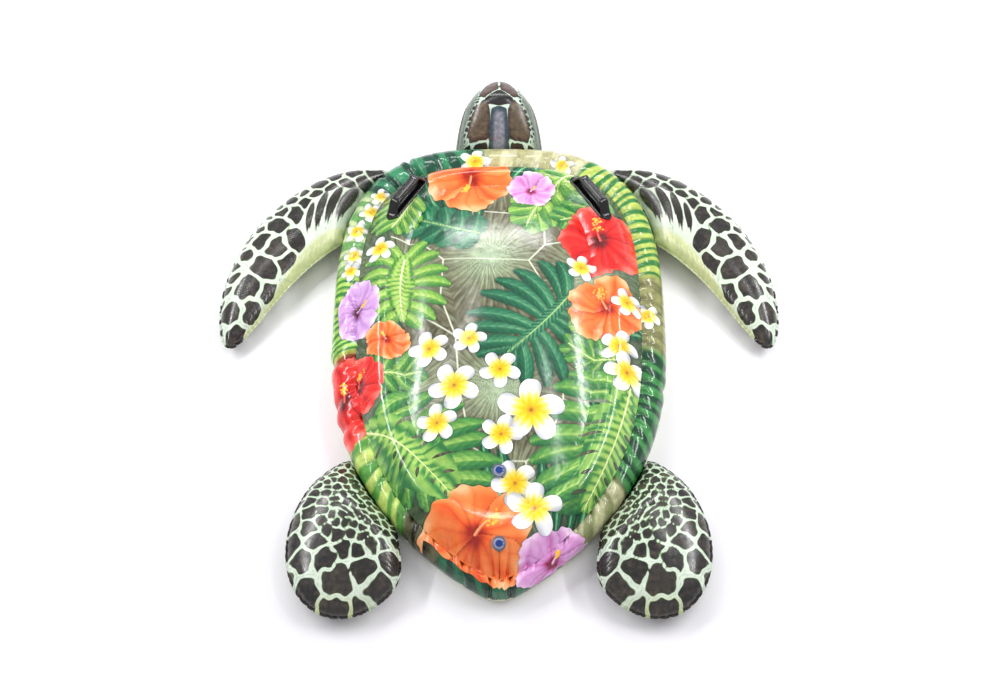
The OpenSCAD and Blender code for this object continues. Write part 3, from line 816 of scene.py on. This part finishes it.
def shell_ring():
    across = 74
    tt, vv, rr, total = hull_grid(HULL_STATIONS, RING_MIDDLE_INSET, np.linspace(0, 1, across))
    inset = lerp(seam_inset(tt), CREASE_INSET, vv)
    z = ring_height(tt, vv) + 0.4 * MM * (1 - vv)
    points = np.concatenate([hull_plan(tt, inset), z[..., None]], -1)
    out = normals_of(points, True, False)
    at_weld = np.exp(-vv / 0.13)
    at_crease = np.exp(-(1 - vv) / 0.1)
    dip = pillows(rr, RIM_CREASES, RIM_DEPTHS) * 6.0 * MM * at_weld
    dip += pillows(rr, CREASE_PLACES, CREASE_DEPTHS) * 1.6 * MM * at_crease
    for station, depth in RING_PINCHES:
        far = from_station(tt, station) / 360 * total + vv * 20 * MM * math.sin(station)
        dip -= depth * MM * np.exp(-np.abs(far / (11 * MM)) ** 1.4) * np.exp(-vv / 0.28)
    dip *= np.minimum(1, vv / 0.02)
    points = points + out * dip[..., None]
    plan = hull_plan(tt, inset).reshape(-1, 2)
    ground = shell_ground(plan)
    leafy = 0.62 * smooth((0.95 - vv) / 0.5).reshape(-1, 1)
    ground = ground + (linear("#2b5236") - ground) * leafy
    prints = shell_print(plan, ground)
    faces = open_for_valve(points, grid_faces(HULL_STATIONS, across, True, False), "ring_valve_flange")
    return hull_piece("shell_ring", points, faces, "printed_shell_vinyl", ("ring_top_panel",), prints)


def shell_pad():
    half = 146
    side = np.linspace(-1, 1, 2 * half + 1)
    a, b = np.meshgrid(side, side, indexing="ij")
    level = np.maximum(np.abs(a), np.abs(b))
    # how far round its square ring each point lies, from 0 to 8 half-sides, anticlockwise from +a
    safe = np.maximum(level, 1e-9)
    u, w = a / safe, b / safe
    right, top, left = u >= 1 - 1e-9, w >= 1 - 1e-9, u <= -1 + 1e-9
    round_at = np.where(top & ~left, 2 - u, np.where(left, 4 - w, 6 + u))
    round_at = np.where(right & (w < 1 - 1e-9), w, round_at) % 8
    fine, run, total = stations(4000, CREASE_INSET)
    t = np.interp(round_at / 8 * total, np.append(run, total), np.append(fine, 360))
    v = 1 - level
    edge = hull_plan(t, CREASE_INSET)
    plan = lerp(edge, PAD_HUB, v[..., None])
    z = lerp(crease_height(t), CREASE_Z, v) + PAD_RISE * (1 - (1 - v) ** 2.6)
    puckers = pillows(round_at / 8, CREASE_PLACES, CREASE_DEPTHS) * 1.4 * MM
    z += puckers * np.exp(-v / 0.05) * np.minimum(1, v / 0.008)
    points = np.concatenate([plan, z[..., None]], -1)
    flat = plan.reshape(-1, 2)
    prints = shell_print(flat, shell_ground(flat))
    n = 2 * half + 1
    faces = open_for_valve(points, grid_faces(n, n, False, False), "pad_valve_flange")
    hull_piece("shell_pad", points, faces, "printed_shell_vinyl", ("pad_top_panel",), prints, fill=1.0)


def belly():
    count = 360
    v = np.concatenate([np.linspace(0, 0.4, 12), np.linspace(0.4, 1, 14)[1:], np.linspace(1, 1.97, 26)[1:]])
    tt, vv, rr, _ = hull_grid(count, RING_MIDDLE_INSET, v)
    k = tube_share(tt)
    outer = hull_plan(tt, lerp(2 * RIM_R * k, CREASE_INSET, np.minimum(vv, 1)))
    inner = lerp(hull_plan(tt, CREASE_INSET), PAD_HUB, np.maximum(vv - 1, 0)[..., None])
    plan = np.where((vv <= 1)[..., None], outer, inner)
    z = np.where(vv <= 1, lerp(WALL_FOOT_Z, RIM_R * k, np.maximum(1 - vv, 0) ** 5),
                 BELLY_Z + (WALL_FOOT_Z - BELLY_Z) * (2 - vv) ** 2)
    places, deep = crease_places(31, 0.012, 0.03)
    z = z - pillows(rr, places, deep) * 2.5 * MM * np.exp(-vv / 0.12) * np.minimum(1, vv / 0.05)
    points = np.concatenate([plan, z[..., None]], -1)
    faces = [f[::-1] for f in grid_faces(count, len(v), True, False).tolist()]
    faces.append([i * len(v) + len(v) - 1 for i in range(count)])
    hull_piece("belly", points, faces, "plain_belly_vinyl", ("belly_panel",))


# ---- limbs and head
def bezier(p, f):
    p = np.array(p, float) * MM
    f = f[:, None]
    return (1 - f) ** 3 * p[0] + 3 * f * (1 - f) ** 2 * p[1] + 3 * f * f * (1 - f) * p[2] + f ** 3 * p[3]


FRONT_OUTER = ((346, 625), (640, 672), (896, 330), (866, -32))
FRONT_INNER = ((493, 338), (604, 262), (724, 92), (776, -50))
# each: middle and half-width along the flipper, half-length across it
BRUSH_BLOTCHES = ((0.045, 0.036, 0.38), (0.125, 0.034, 0.38), (0.205, 0.033, 0.37), (0.28, 0.027, 0.28))
REAR_OUTER = ((432, -450), (598, -540), (640, -786), (594, -946))
REAR_INNER = ((295, -672), (286, -778), (254, -846), (290, -946))


def root_swell(f, run):
    g = np.clip(1 - f / run, 0, 1)
    return np.sqrt(1 - g * g)


def flipper_rows(f, outer, inner, bow, root_z, h, swell_run, end_power):
    """Each row's middle, half-width vector, outward way, bow, seam height and thickness."""
    o, i = bezier(outer, f), bezier(inner, f)
    chord = (np.array(outer[0]) - np.array(inner[0])) * MM
    outward = np.array([chord[1], -chord[0]]) / np.hypot(*chord)
    end = np.sqrt(np.maximum(1 - f ** end_power, 0))
    taper = h * lerp(1, 0.62, f ** 2.4)
    thick = np.maximum(taper * root_swell(f, swell_run) * end ** 0.8, 0.4 * MM)
    spare = outward[None] * (1 - f)[:, None] * 0.5 * MM
    seam = lerp(root_z, taper, smooth(f / 0.3))
    half = (o - i) / 2 * end[:, None]
    return (o + i) / 2 + spare, half, outward, bow * (1 - smooth(f / 0.45)), seam, thick, thick


def head_rows(f):
    end = np.sqrt(np.maximum(1 - f ** 1.6, 0))
    swell = root_swell(f, 0.5)
    y = rim_high.y + 0.5 * MM + 242.5 * MM * f
    middle = np.stack([0 * f, y], -1)
    half = np.stack([-135 * MM * end, 0 * f], -1)
    seam = lerp(RIM_R, 130 * MM, smooth(f / 0.6))
    top = np.maximum(100 * MM * swell * end ** 0.9, 0.4 * MM)
    low = np.maximum(82 * MM * swell * end ** 0.9, 0.4 * MM)
    return middle, half, np.array([0.0, 1.0]), 0 * f, seam, top, low


def limb(rows_of, mirror, seed):
    """A pillow of two panels welded round the edge: points, and each point's place in its own flat plan."""
    g = np.linspace(0, 1, 230)
    f = 1 - (1 - g) ** 1.35
    f[-1] = 0.99999
    middle, half, outward, bow, seam, top, low = rows_of(f)
    def edge_puckers(side, draw_from, shortest, longest):
        """How far along one edge each row lies, 0 to 1, and the dips of the film there."""
        steps = np.hypot(*np.diff(middle + half * side, axis=0).T)
        run = np.concatenate([[0], np.cumsum(steps)]) / steps.sum()
        return run, pillows(run, *crease_places(draw_from, shortest, longest))

    edge_run, dip_a = edge_puckers(1, seed, 0.022, 0.05)
    dip_b = edge_puckers(-1, seed + 1, 0.02, 0.055)[1]
    arc = np.linspace(0, 180, 64)
    arc = 90 - 90 * np.sign(90 - arc) * (np.abs(90 - arc) / 90) ** 0.9
    ring = np.concatenate([arc, 360 - arc[::-1]])
    upper = np.concatenate([np.ones(64), -np.ones(64)])
    c, s = np.cos(np.radians(ring)), np.abs(np.sin(np.radians(ring)))
    width = np.hypot(half[:, 0], half[:, 1])
    dip = np.where(c[None] > 0, dip_a[:, None], dip_b[:, None])
    at_tip = smooth((g - 0.6) / 0.3)
    puck = dip * np.abs(c[None]) ** 5 * lerp(3.0, 5.5, at_tip)[:, None] * MM
    reach = 1 + puck / np.maximum(width, 12 * MM)[:, None] * (1 - 0.5 * (g > 0.97))[:, None]
    across = c[None] * reach
    thick = np.where(upper[None] > 0, top[:, None], low[:, None])
    groove = dip * np.clip((np.abs(c[None]) - 0.75) / 0.2, 0, 1)
    rise = thick * s[None] + 0.35 * MM + groove * 2.2 * MM * s[None]
    plan = (middle[:, None] + half[:, None] * across[..., None]
            + outward[None, None] * (bow[:, None] * (1 - np.clip(across, -1, 1) ** 2))[..., None])
    z = np.maximum(seam[:, None] + upper[None] * rise, 0)
    body = np.concatenate([plan, z[..., None]], -1)

    def margin(side, dip):
        """The welded margin: a line outside one edge."""
        line = middle + half * side
        along = np.gradient(line, axis=0)
        along /= np.maximum(np.hypot(along[:, 0], along[:, 1]), 1e-9)[:, None]
        away = np.stack([along[:, 1], -along[:, 0]], -1)
        away *= np.sign((away * half * side).sum(1))[:, None]
        away[-1] = away[-2]
        out = line + away * (LIP * smooth(g / 0.03) + dip * lerp(1.5, 4.5, at_tip) * MM)[:, None]
        wave = 0.9 * MM * np.sin(edge_run * 160 + side)
        return np.concatenate([out, (seam + wave)[:, None]], -1)

    out_a, out_b = margin(1, dip_a), margin(-1, dip_b)
    up = np.array([0, 0, 0.4 * MM])
    points = np.concatenate([
        (out_a + up)[:, None], body[:, :64], (out_b + up)[:, None],
        (out_b - up)[:, None], body[:, 64:], (out_a - up)[:, None]], 1)
    rows, columns = points.shape[:2]
    # place in the flat plan: along the limb, and from the outer to the inner edge, unrolled over the top
    column_c = np.concatenate([[1.05], c[:64], [-1.05, -1.05], c[64:], [1.05]])
    column_up = np.concatenate([[1], upper[:64], [1, -1], upper[64:], [-1]])
    flat = middle[:, None] + half[:, None] * np.clip(column_c, -1.1, 1.1)[None, :, None] + outward * (
        bow[:, None] * (1 - column_c[None] ** 2))[..., None]
    grid = {"flat": flat.reshape(-1, 2), "f": np.repeat(f, columns), "c": np.tile(column_c, rows),
            "up": np.tile(column_up, rows)}
    if mirror:
        points = points * np.array([-1, 1, 1])
    faces = grid_faces(rows, columns, False, True).tolist()
    faces.append(list(range(columns))[::-1])
    faces.append(list(range((rows - 1) * columns, rows * columns)))
    if mirror:
        faces = [fc[::-1] for fc in faces]
    return points, faces, grid


def scatter_cells(size_at, lows, highs, seed, tries=9000):
    """Seeded cell middles, none closer than its own local size to another."""
    draw = np.random.default_rng(seed)
    spots = draw.uniform(lows, highs, (tries, 2))
    sizes = size_at(spots)
    kept, kept_r = [], []
    for p, r in zip(spots, sizes):
        if kept:
            d = np.hypot(*(np.array(kept) - p).T)
            if (d < (np.array(kept_r) + r) * 0.92).any():
                continue
        kept.append(p)
        kept_r.append(r)
    return np.array(kept), np.array(kept_r)


def cell_edges(xy, spots, sizes, gap, soft=1.7 * MM):
    """Distance inside the nearest rounded cell, which cell it is, and distance from the line round it."""
    edge = np.empty(len(xy))
    middle = np.empty(len(xy))
    owner = np.empty(len(xy), int)
    for start in range(0, len(xy), 20000):
        part = xy[start:start + 20000]
        d = np.hypot(part[:, None, 0] - spots[None, :, 0], part[:, None, 1] - spots[None, :, 1]) - sizes[None]
        near = np.sort(np.partition(d, 4, axis=1)[:, :5], axis=1)
        apart = (near[:, 1:] - near[:, :1]) / 2
        owner[start:start + len(part)] = d.argmin(1)
        # a soft minimum over the four nearest neighbours rounds the corners
        edge[start:start + len(part)] = -soft * np.log(np.exp(-apart / soft).sum(1))
        middle[start:start + len(part)] = apart[:, 0]
    return edge - gap, owner, middle


def wobble(xy, size, seed):
    """A smooth seeded wander, to keep printed cells from looking drawn with a ruler."""
    draw = np.random.default_rng(seed)
    out = np.zeros(len(xy))
    for _ in range(9):
        way = draw.normal(0, 1, 2)
        way *= draw.uniform(0.6, 1.6) / np.hypot(*way) / size
        out += np.sin(xy @ way * 2 * np.pi + draw.uniform(0, 6.28))
    return out / 4


def limb_print(grid, size_at, gap_at, seed, ground, brush):
    """Dark cells of their own local size in a pale net, over the ground and under the brushed blotches."""
    xy = grid["flat"]
    warped = xy + np.stack([wobble(xy, 0.045, seed), wobble(xy, 0.045, seed + 5)], -1) * 4.6 * MM
    margin = 0.03
    spots, sizes = scatter_cells(size_at, xy.min(0) - margin, xy.max(0) + margin, seed)
    edge, owner, middle = cell_edges(warped, spots, sizes, gap_at(xy))
    tone = np.random.default_rng(seed + 9).uniform(0, 1, len(spots))[owner]
    tone = 0.6 * tone + 0.25 + 0.25 * wobble(xy, 0.02, seed + 3)
    return {"ground_ink": ground, "cell_edge": edge, "net_edge": 0.7 * MM - middle, "brush_edge": brush,
            "cell_ink": ramp(np.clip(tone, 0, 1), "#141312", "#201e1c", "#2b2926", "#3b352e")}


def hang_limb(piece, body, root, outward, reach, *panels):
    """Bakes a limb's placement into its mesh, and hides the panels its skin stands for."""
    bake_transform(piece)
    soft_chamber(piece, "printed_limb_vinyl", *panels)


def front_flipper(side, mirror):
    rows = lambda f: flipper_rows(f, FRONT_OUTER, FRONT_INNER, 33 * MM, RIM_R, 66 * MM, 0.2, 9)
    points, faces, grid = limb(rows, mirror, 41)
    f, c = grid["f"], grid["c"]

    def local(xy):
        """How far along and across the flipper each plan point lies."""
        fine = np.linspace(0, 1, 90)
        o, i = bezier(FRONT_OUTER, fine), bezier(FRONT_INNER, fine)
        mid = (o + i) / 2
        k = ((xy[:, None] - mid[None]) ** 2).sum(2).argmin(1)
        half = (o - i)[k] / 2
        return fine[k], ((xy - mid[k]) * half).sum(1) / (half ** 2).sum(1)

    def size_at(xy):
        along, across = local(xy)
        lead = smooth((across - 0.1) / 0.5) * smooth((along - 0.16) / 0.14)
        big = lerp(27, 35, smooth((along - 0.3) / 0.35))
        return lerp(big, lerp(12, 19, smooth((along - 0.6) / 0.3)), lead) * MM

    band = smooth((-c - lerp(0.66, 0.9, smooth((f - 0.25) / 0.5))) / 0.14) * (1 - smooth((f - 0.9) / 0.1))
    ground = ramp(np.clip(band, 0, 1), "#d6e2d0", "#ccd49c")
    ground = ground * (1 - 0.25 * smooth((0.15 - f) / 0.15))[:, None]
    gap = lambda xy: lerp(4.6, 7.2, smooth((local(xy)[0] - 0.25) / 0.35)) * MM
    # soft dark blotches across the root half, ragged towards the trailing edge
    brush = np.full(len(f), OUTSIDE)
    for middle, half_w, low in BRUSH_BLOTCHES:
        jag = (0.17 * np.sin(f * 260 + c * 3) + 0.1 * np.sin(f * 590)) * smooth((-0.1 - c) / 0.3)
        blot = 1 - np.hypot((f - middle + 0.03 * c) / half_w, (c + 0.14) / low + jag)
        brush = np.maximum(brush, np.clip(blot, -1, 1) * 0.017)
    clear = smooth((0.33 - f) / 0.05) * smooth((0.26 - c) / 0.1)
    prints = limb_print(grid, size_at, gap, 61, ground, brush)
    prints["cell_edge"] = prints["cell_edge"] - band * 0.03 - 0.03 * clear
    name = f"front_flipper_{side}"
    piece = new_piece(name, points, faces, LIMB_VINYL, prints)
    sign = -1 if mirror else 1
    hang_limb(piece, name, (sign * 0.430, 0.487, RIM_R), (sign * 0.89, 0.456, 0), 0.1,
              name + "_top_panel", name + "_bottom_panel")


def rear_flipper(side, mirror):
    rows = lambda f: flipper_rows(f, REAR_OUTER, REAR_INNER, 12 * MM, 57 * MM, 75 * MM, 0.34, 4.5)
    points, faces, grid = limb(rows, mirror, 71)
    f = grid["f"]
    root = (np.array(REAR_OUTER[0]) + np.array(REAR_INNER[0])) / 2 * MM

    def size_at(xy):
        far = np.hypot(*(xy - root).T)
        return lerp(10, 39, smooth((far - 0.1) / 0.25) ** 1.3) * MM

    tip = smooth((f - 0.86) / 0.12)
    ground = ramp(np.clip(tip, 0, 1), "#d6e2d0", "#ccd6a0")
    gap = lambda xy: lerp(2.5, 7.4, smooth((np.hypot(*(xy - root).T) - 0.12) / 0.25)) * MM
    prints = limb_print(grid, size_at, gap, 83, ground, np.full(len(f), OUTSIDE))
    name = f"rear_flipper_{side}"
    piece = new_piece(name, points, faces, LIMB_VINYL, prints)
    sign = -1 if mirror else 1
    hang_limb(piece, name, (sign * 0.364, -0.561, 57 * MM), (sign * 0.851, -0.525, 0), 0.09,
              name + "_top_panel", name + "_bottom_panel")


def rounded_scale(p, corners, round_by):
    """Distance inside a straight-sided scale with rounded corners; its corners run anticlockwise."""
    pts = np.array(corners, float) * MM
    middle = pts.mean(0)
    edge = np.full(len(p), 1.0)
    for a, b in zip(pts, np.roll(pts, -1, axis=0)):
        n = np.array([b[1] - a[1], a[0] - b[0]])
        n /= np.hypot(*n)
        if (middle - a) @ n > 0:
            n = -n
        plane = -(p - a) @ n
        h = np.clip(0.5 + (plane - edge) / round_by * 0.5, 0, 1)
        edge = lerp(plane, edge, h) - round_by * h * (1 - h) * 0.5
    return edge


HEAD_SCALES = (  # corners in mm, then inks from the edge in; the first two lie on the middle line
    (((0, 858), (-44, 822), (-30, 790), (0, 797), (30, 790), (44, 822)),
     ("#2a2624", "#1c1918", "#241c1f", "#171516")),
    (((-26, 787), (-27, 760), (-34, 715), (-26, 685), (26, 685), (34, 715), (27, 760), (26, 787), (0, 794)),
     ("#2c4448", "#33474f", "#4d5561", "#858794")),
    (((-48, 818), (-34, 798), (-31, 762), (-38, 722), (-94, 720), (-101, 738), (-90, 776), (-70, 806)),
     ("#2c2420", "#4b382f", "#5b4336", "#66593e", "#564a3a")),
    (((-5, 864), (-47, 829), (-62, 838), (-56, 872), (-34, 905), (-5, 928)),
     ("#2a2220", "#4a3630", "#5b423c", "#5e4f49")),
    (((-40, 713), (-34, 688), (-84, 688), (-86, 700), (-76, 713)), ("#241c1a", "#3b2728", "#573638")),
    (((-96, 714), (-92, 688), (-128, 688), (-116, 706)), ("#1e1b19", "#2b2625", "#3b3330")),
)


def head():
    points, faces, grid = limb(head_rows, False, 97)
    xy, up = grid["flat"], grid["up"]
    x, y = np.abs(xy[:, 0]), xy[:, 1]
    brow = smooth((x - lerp(0.056, 0.096, smooth((0.84 - y) / 0.1))) / 0.022)
    streak = 0.5 + 0.3 * np.sin(x * 900 + y * 60) * np.sin(x * 310 - y * 90)
    tone = np.clip(brow * 0.75 + 0.25 * streak * brow, 0, 1)
    ground = ramp(tone, "#d5e6d8", "#b4c4ae", "#8e9a8a", "#5f6762")
    ground[up < 0] = linear("#cdd3b4")
    specks = scatter_cells(lambda q: np.full(len(q), 5.4 * MM), xy.min(0), xy.max(0), 15, 6000)
    edge = cell_edges(xy, *specks, 1.3 * MM, 0.8 * MM)[0]
    speckled = (brow > 0.1) & (brow < 0.99) & (up > 0)
    edge = np.where(speckled, edge - 1.6 * MM * smooth((0.76 - y) / 0.05), OUTSIDE)
    ink = np.tile(linear("#2a2b26"), (len(xy), 1))
    sides = np.stack([-np.abs(xy[:, 0]), xy[:, 1]], -1)
    grown = sides + np.stack([wobble(xy, 0.025, 8), wobble(xy, 0.025, 9)], -1) * 1.2 * MM
    for number, (corners, inks) in enumerate(HEAD_SCALES):
        inside = rounded_scale(xy if number < 2 else grown, corners, 7 * MM) + 1.8 * MM
        inside = np.where(up > 0, inside, OUTSIDE)
        over = inside > edge
        grain = 0.05 if number == 1 else 0.16
        depth = np.clip(inside / (17 * MM) + grain * wobble(xy, 0.012, 5), 0, 1)
        ink[over] = ramp(depth, *inks)[over]
        edge = np.maximum(edge, inside)
    prints = {"ground_ink": ground, "cell_edge": edge, "cell_ink": ink}
    piece = new_piece("head_pillow", points, faces, HEAD_VINYL, prints)
    hang_limb(piece, "head", (0, rim_high.y, RIM_R), (0, 1, 0), 0.1, "head_crown_panel", "head_throat_panel")


# ---- fittings
HANDLE_STATION, HANDLE_SHARE = 41, 0.55  # where the handle sits on the shell's ring


def handle(side, ring_mesh):
    """One glossy moulding: a long foot that follows the shell, and an arched grip with a dished top."""
    sign = -1 if side == "left" else 1
    t, v = HANDLE_STATION, HANDLE_SHARE
    middle = Vector(ring_point(t, v))
    x_way = Vector(ring_point(t + 8, v) - ring_point(t - 8, v)).normalized()
    z_way = x_way.cross(Vector(ring_point(t, v + 0.06) - ring_point(t, v - 0.06))).normalized()
    y_way = z_way.cross(x_way)
    tree = BVHTree.FromObject(ring_mesh, bpy.context.evaluated_depsgraph_get())

    def place(x, y, z):
        p = middle + x_way * x + y_way * y + z_way * z
        return Vector((sign * p.x, p.y, p.z))

    way_up = Vector((sign * z_way.x, z_way.y, z_way.z))

    def shell_height(x, y):
        hit = tree.ray_cast(place(x, y, 60 * MM), -way_up)
        return 60 * MM - hit[3] if hit[0] else 0.0

    points, faces = [], []

    def loft(sections):
        base = len(points)
        n = len(sections[0])
        for s in sections:
            points.extend(place(*p) for p in s)
        for i in range(len(sections) - 1):
            for j in range(n):
                here, there = base + i * n, base + (i + 1) * n
                k = (j + 1) % n
                faces.append([here + j, here + k, there + k, there + j])
        faces.append(list(range(base, base + n))[::-1])
        faces.append(list(range(len(points) - n, len(points))))

    # the foot: a plate with tapered ends and a rounded rim
    sections = []
    long_half, wide_half, thick = 103 * MM, 23 * MM, 3.6 * MM
    for u in np.linspace(-1, 1, 61):
        x = u * long_half
        w = wide_half * (1 - 0.5 * smooth((abs(u) - 0.8) / 0.2)) * math.sqrt(max(1 - abs(u) ** 26, 0.05))
        top = [(v * w, shell_height(x, v * w) + thick * (1 - 0.45 * abs(v) ** 6)
                + 1.2 * MM * math.exp(-((abs(v) - 0.78) / 0.12) ** 2)) for v in np.linspace(-1, 1, 17)]
        bottom = [(v * w, shell_height(x, v * w) - 1.5 * MM) for v in np.linspace(1, -1, 17)]
        sections.append([(x, y, z) for y, z in top + bottom])
    loft(sections)
    # the grip: an arch that rises from both ends
    sections = []
    for u in np.linspace(-1, 1, 73):
        x = u * 89 * MM
        lift = 1 - smooth((abs(u) - 0.6) / 0.4)
        high = lerp(1.5, 40.4, lift) * MM
        t = lerp(15, 11.5, smooth(lift * 1.4)) * MM
        w = lerp(17.5, 16, smooth(lift)) * MM
        dish = 4.2 * MM * smooth((0.62 - abs(u)) / 0.1)
        section = []
        for a in np.linspace(0, 360, 40, endpoint=False):
            c, s = math.cos(math.radians(a)), math.sin(math.radians(a))
            y = w * math.copysign(abs(c) ** 0.55, c)
            z = high - t / 2 + t / 2 * math.copysign(abs(s) ** 0.55, s)
            if s > 0:
                z -= dish * (1 - smooth((abs(y) / w - 0.52) / 0.22))
            section.append((x, y, z))
        sections.append(section)
    loft(sections)
    if sign < 0:
        faces = [f[::-1] for f in faces]
    piece = new_piece(f"grab_handle_{side}", [tuple(p) for p in points], faces, HANDLE_PLASTIC)
    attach(piece, "hull")
    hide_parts(f"handle_{side}")


# a word in the node's name, and its finish; the first that fits is taken
FITTING_FINISHES = (("chamber_wall", BELLY_VINYL), ("valve_flange", FLANGE_PLASTIC),
                    ("valve_stem", STEM_PLASTIC), ("valve", VALVE_PLASTIC))


def keep_fittings():
    """Valves and the inner wall keep their machined shapes and get their real finishes."""
    for name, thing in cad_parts.items():
        finish = next((look for word, look in FITTING_FINISHES if word in name), None)
        if finish:
            if not thing.material_slots:
                thing.data.materials.append(finish)
            for slot in thing.material_slots:
                slot.material = finish


# ---- studio
def studio():
    floor_mesh = bpy.data.meshes.new("studio_floor")
    far, sunk = 14.0, -0.0006
    corners = [(-far, -far, sunk), (far, -far, sunk), (far, far, sunk), (-far, far, sunk)]
    floor_mesh.from_pydata(corners, [], [(0, 1, 2, 3)])
    floor = bpy.data.objects.new("studio_floor", floor_mesh)
    bpy.context.scene.collection.objects.link(floor)
    # matt paper, so the floor takes a soft shadow and no highlight
    sweep = plain_surface("matt_white_sweep", "#f0eff1", 0.95, **{"Specular IOR Level": 0.1})
    floor_mesh.materials.append(sweep)

    world = bpy.data.worlds.new("studio_air")
    bpy.context.scene.world = world
    world.use_nodes = True
    world.node_tree.nodes.clear()
    sky = add(world.node_tree, "ShaderNodeBackground", {"Color": rgba("#fbfaff"), "Strength": 0.64})
    add(world.node_tree, "ShaderNodeOutputWorld", {"Surface": sky.outputs["Background"]})

    def softbox(name, place, target, size, power):
        light = bpy.data.lights.new(name, "AREA")
        light.shape = "RECTANGLE"
        light.size, light.size_y = size
        light.energy = power
        box = bpy.data.objects.new(name, light)
        box.location = place
        box.rotation_euler = (Vector(target) - Vector(place)).to_track_quat("-Z", "Y").to_euler()
        bpy.context.scene.collection.objects.link(box)

    softbox("left_strip", (-2.5, 0.5, 2.3), (0, 0, 0.1), (3.0, 0.12), 58)
    softbox("right_strip", (2.5, 0.5, 2.3), (0, 0, 0.1), (3.0, 0.12), 58)
    softbox("left_overhead", (-1.25, 1.6, 3.4), (0, 0, 0.1), (2.2, 0.07), 16)
    softbox("right_overhead", (1.5, 0.6, 3.4), (0, 0, 0.1), (2.2, 0.07), 17)
    softbox("back_bank", (0, 3.4, 2.8), (0, 0.1, 0.1), (2.6, 0.22), 46)
    bpy.context.scene.view_settings.view_transform = "Standard"

    elevation, distance = math.radians(56), 5.5
    target = Vector((0, -0.068, 0.08))
    lens = bpy.data.cameras.new("view")
    lens.sensor_width = 36
    lens.lens = 65.538
    lens.clip_end = 60
    camera = bpy.data.objects.new("view", lens)
    camera.location = target + Vector((0, -math.cos(elevation), math.sin(elevation))) * distance
    camera.rotation_euler = (target - camera.location).to_track_quat("-Z", "Y").to_euler()
    lens.shift_x = 0.001
    bpy.context.scene.collection.objects.link(camera)
    bpy.context.scene.camera = camera


rim_tube()
ring_piece = shell_ring()
shell_pad()
belly()
for side, mirror in (("left", True), ("right", False)):
    front_flipper(side, mirror)
    rear_flipper(side, mirror)
head()
for side in ("left", "right"):
    handle(side, ring_piece)
keep_fittings()
studio()
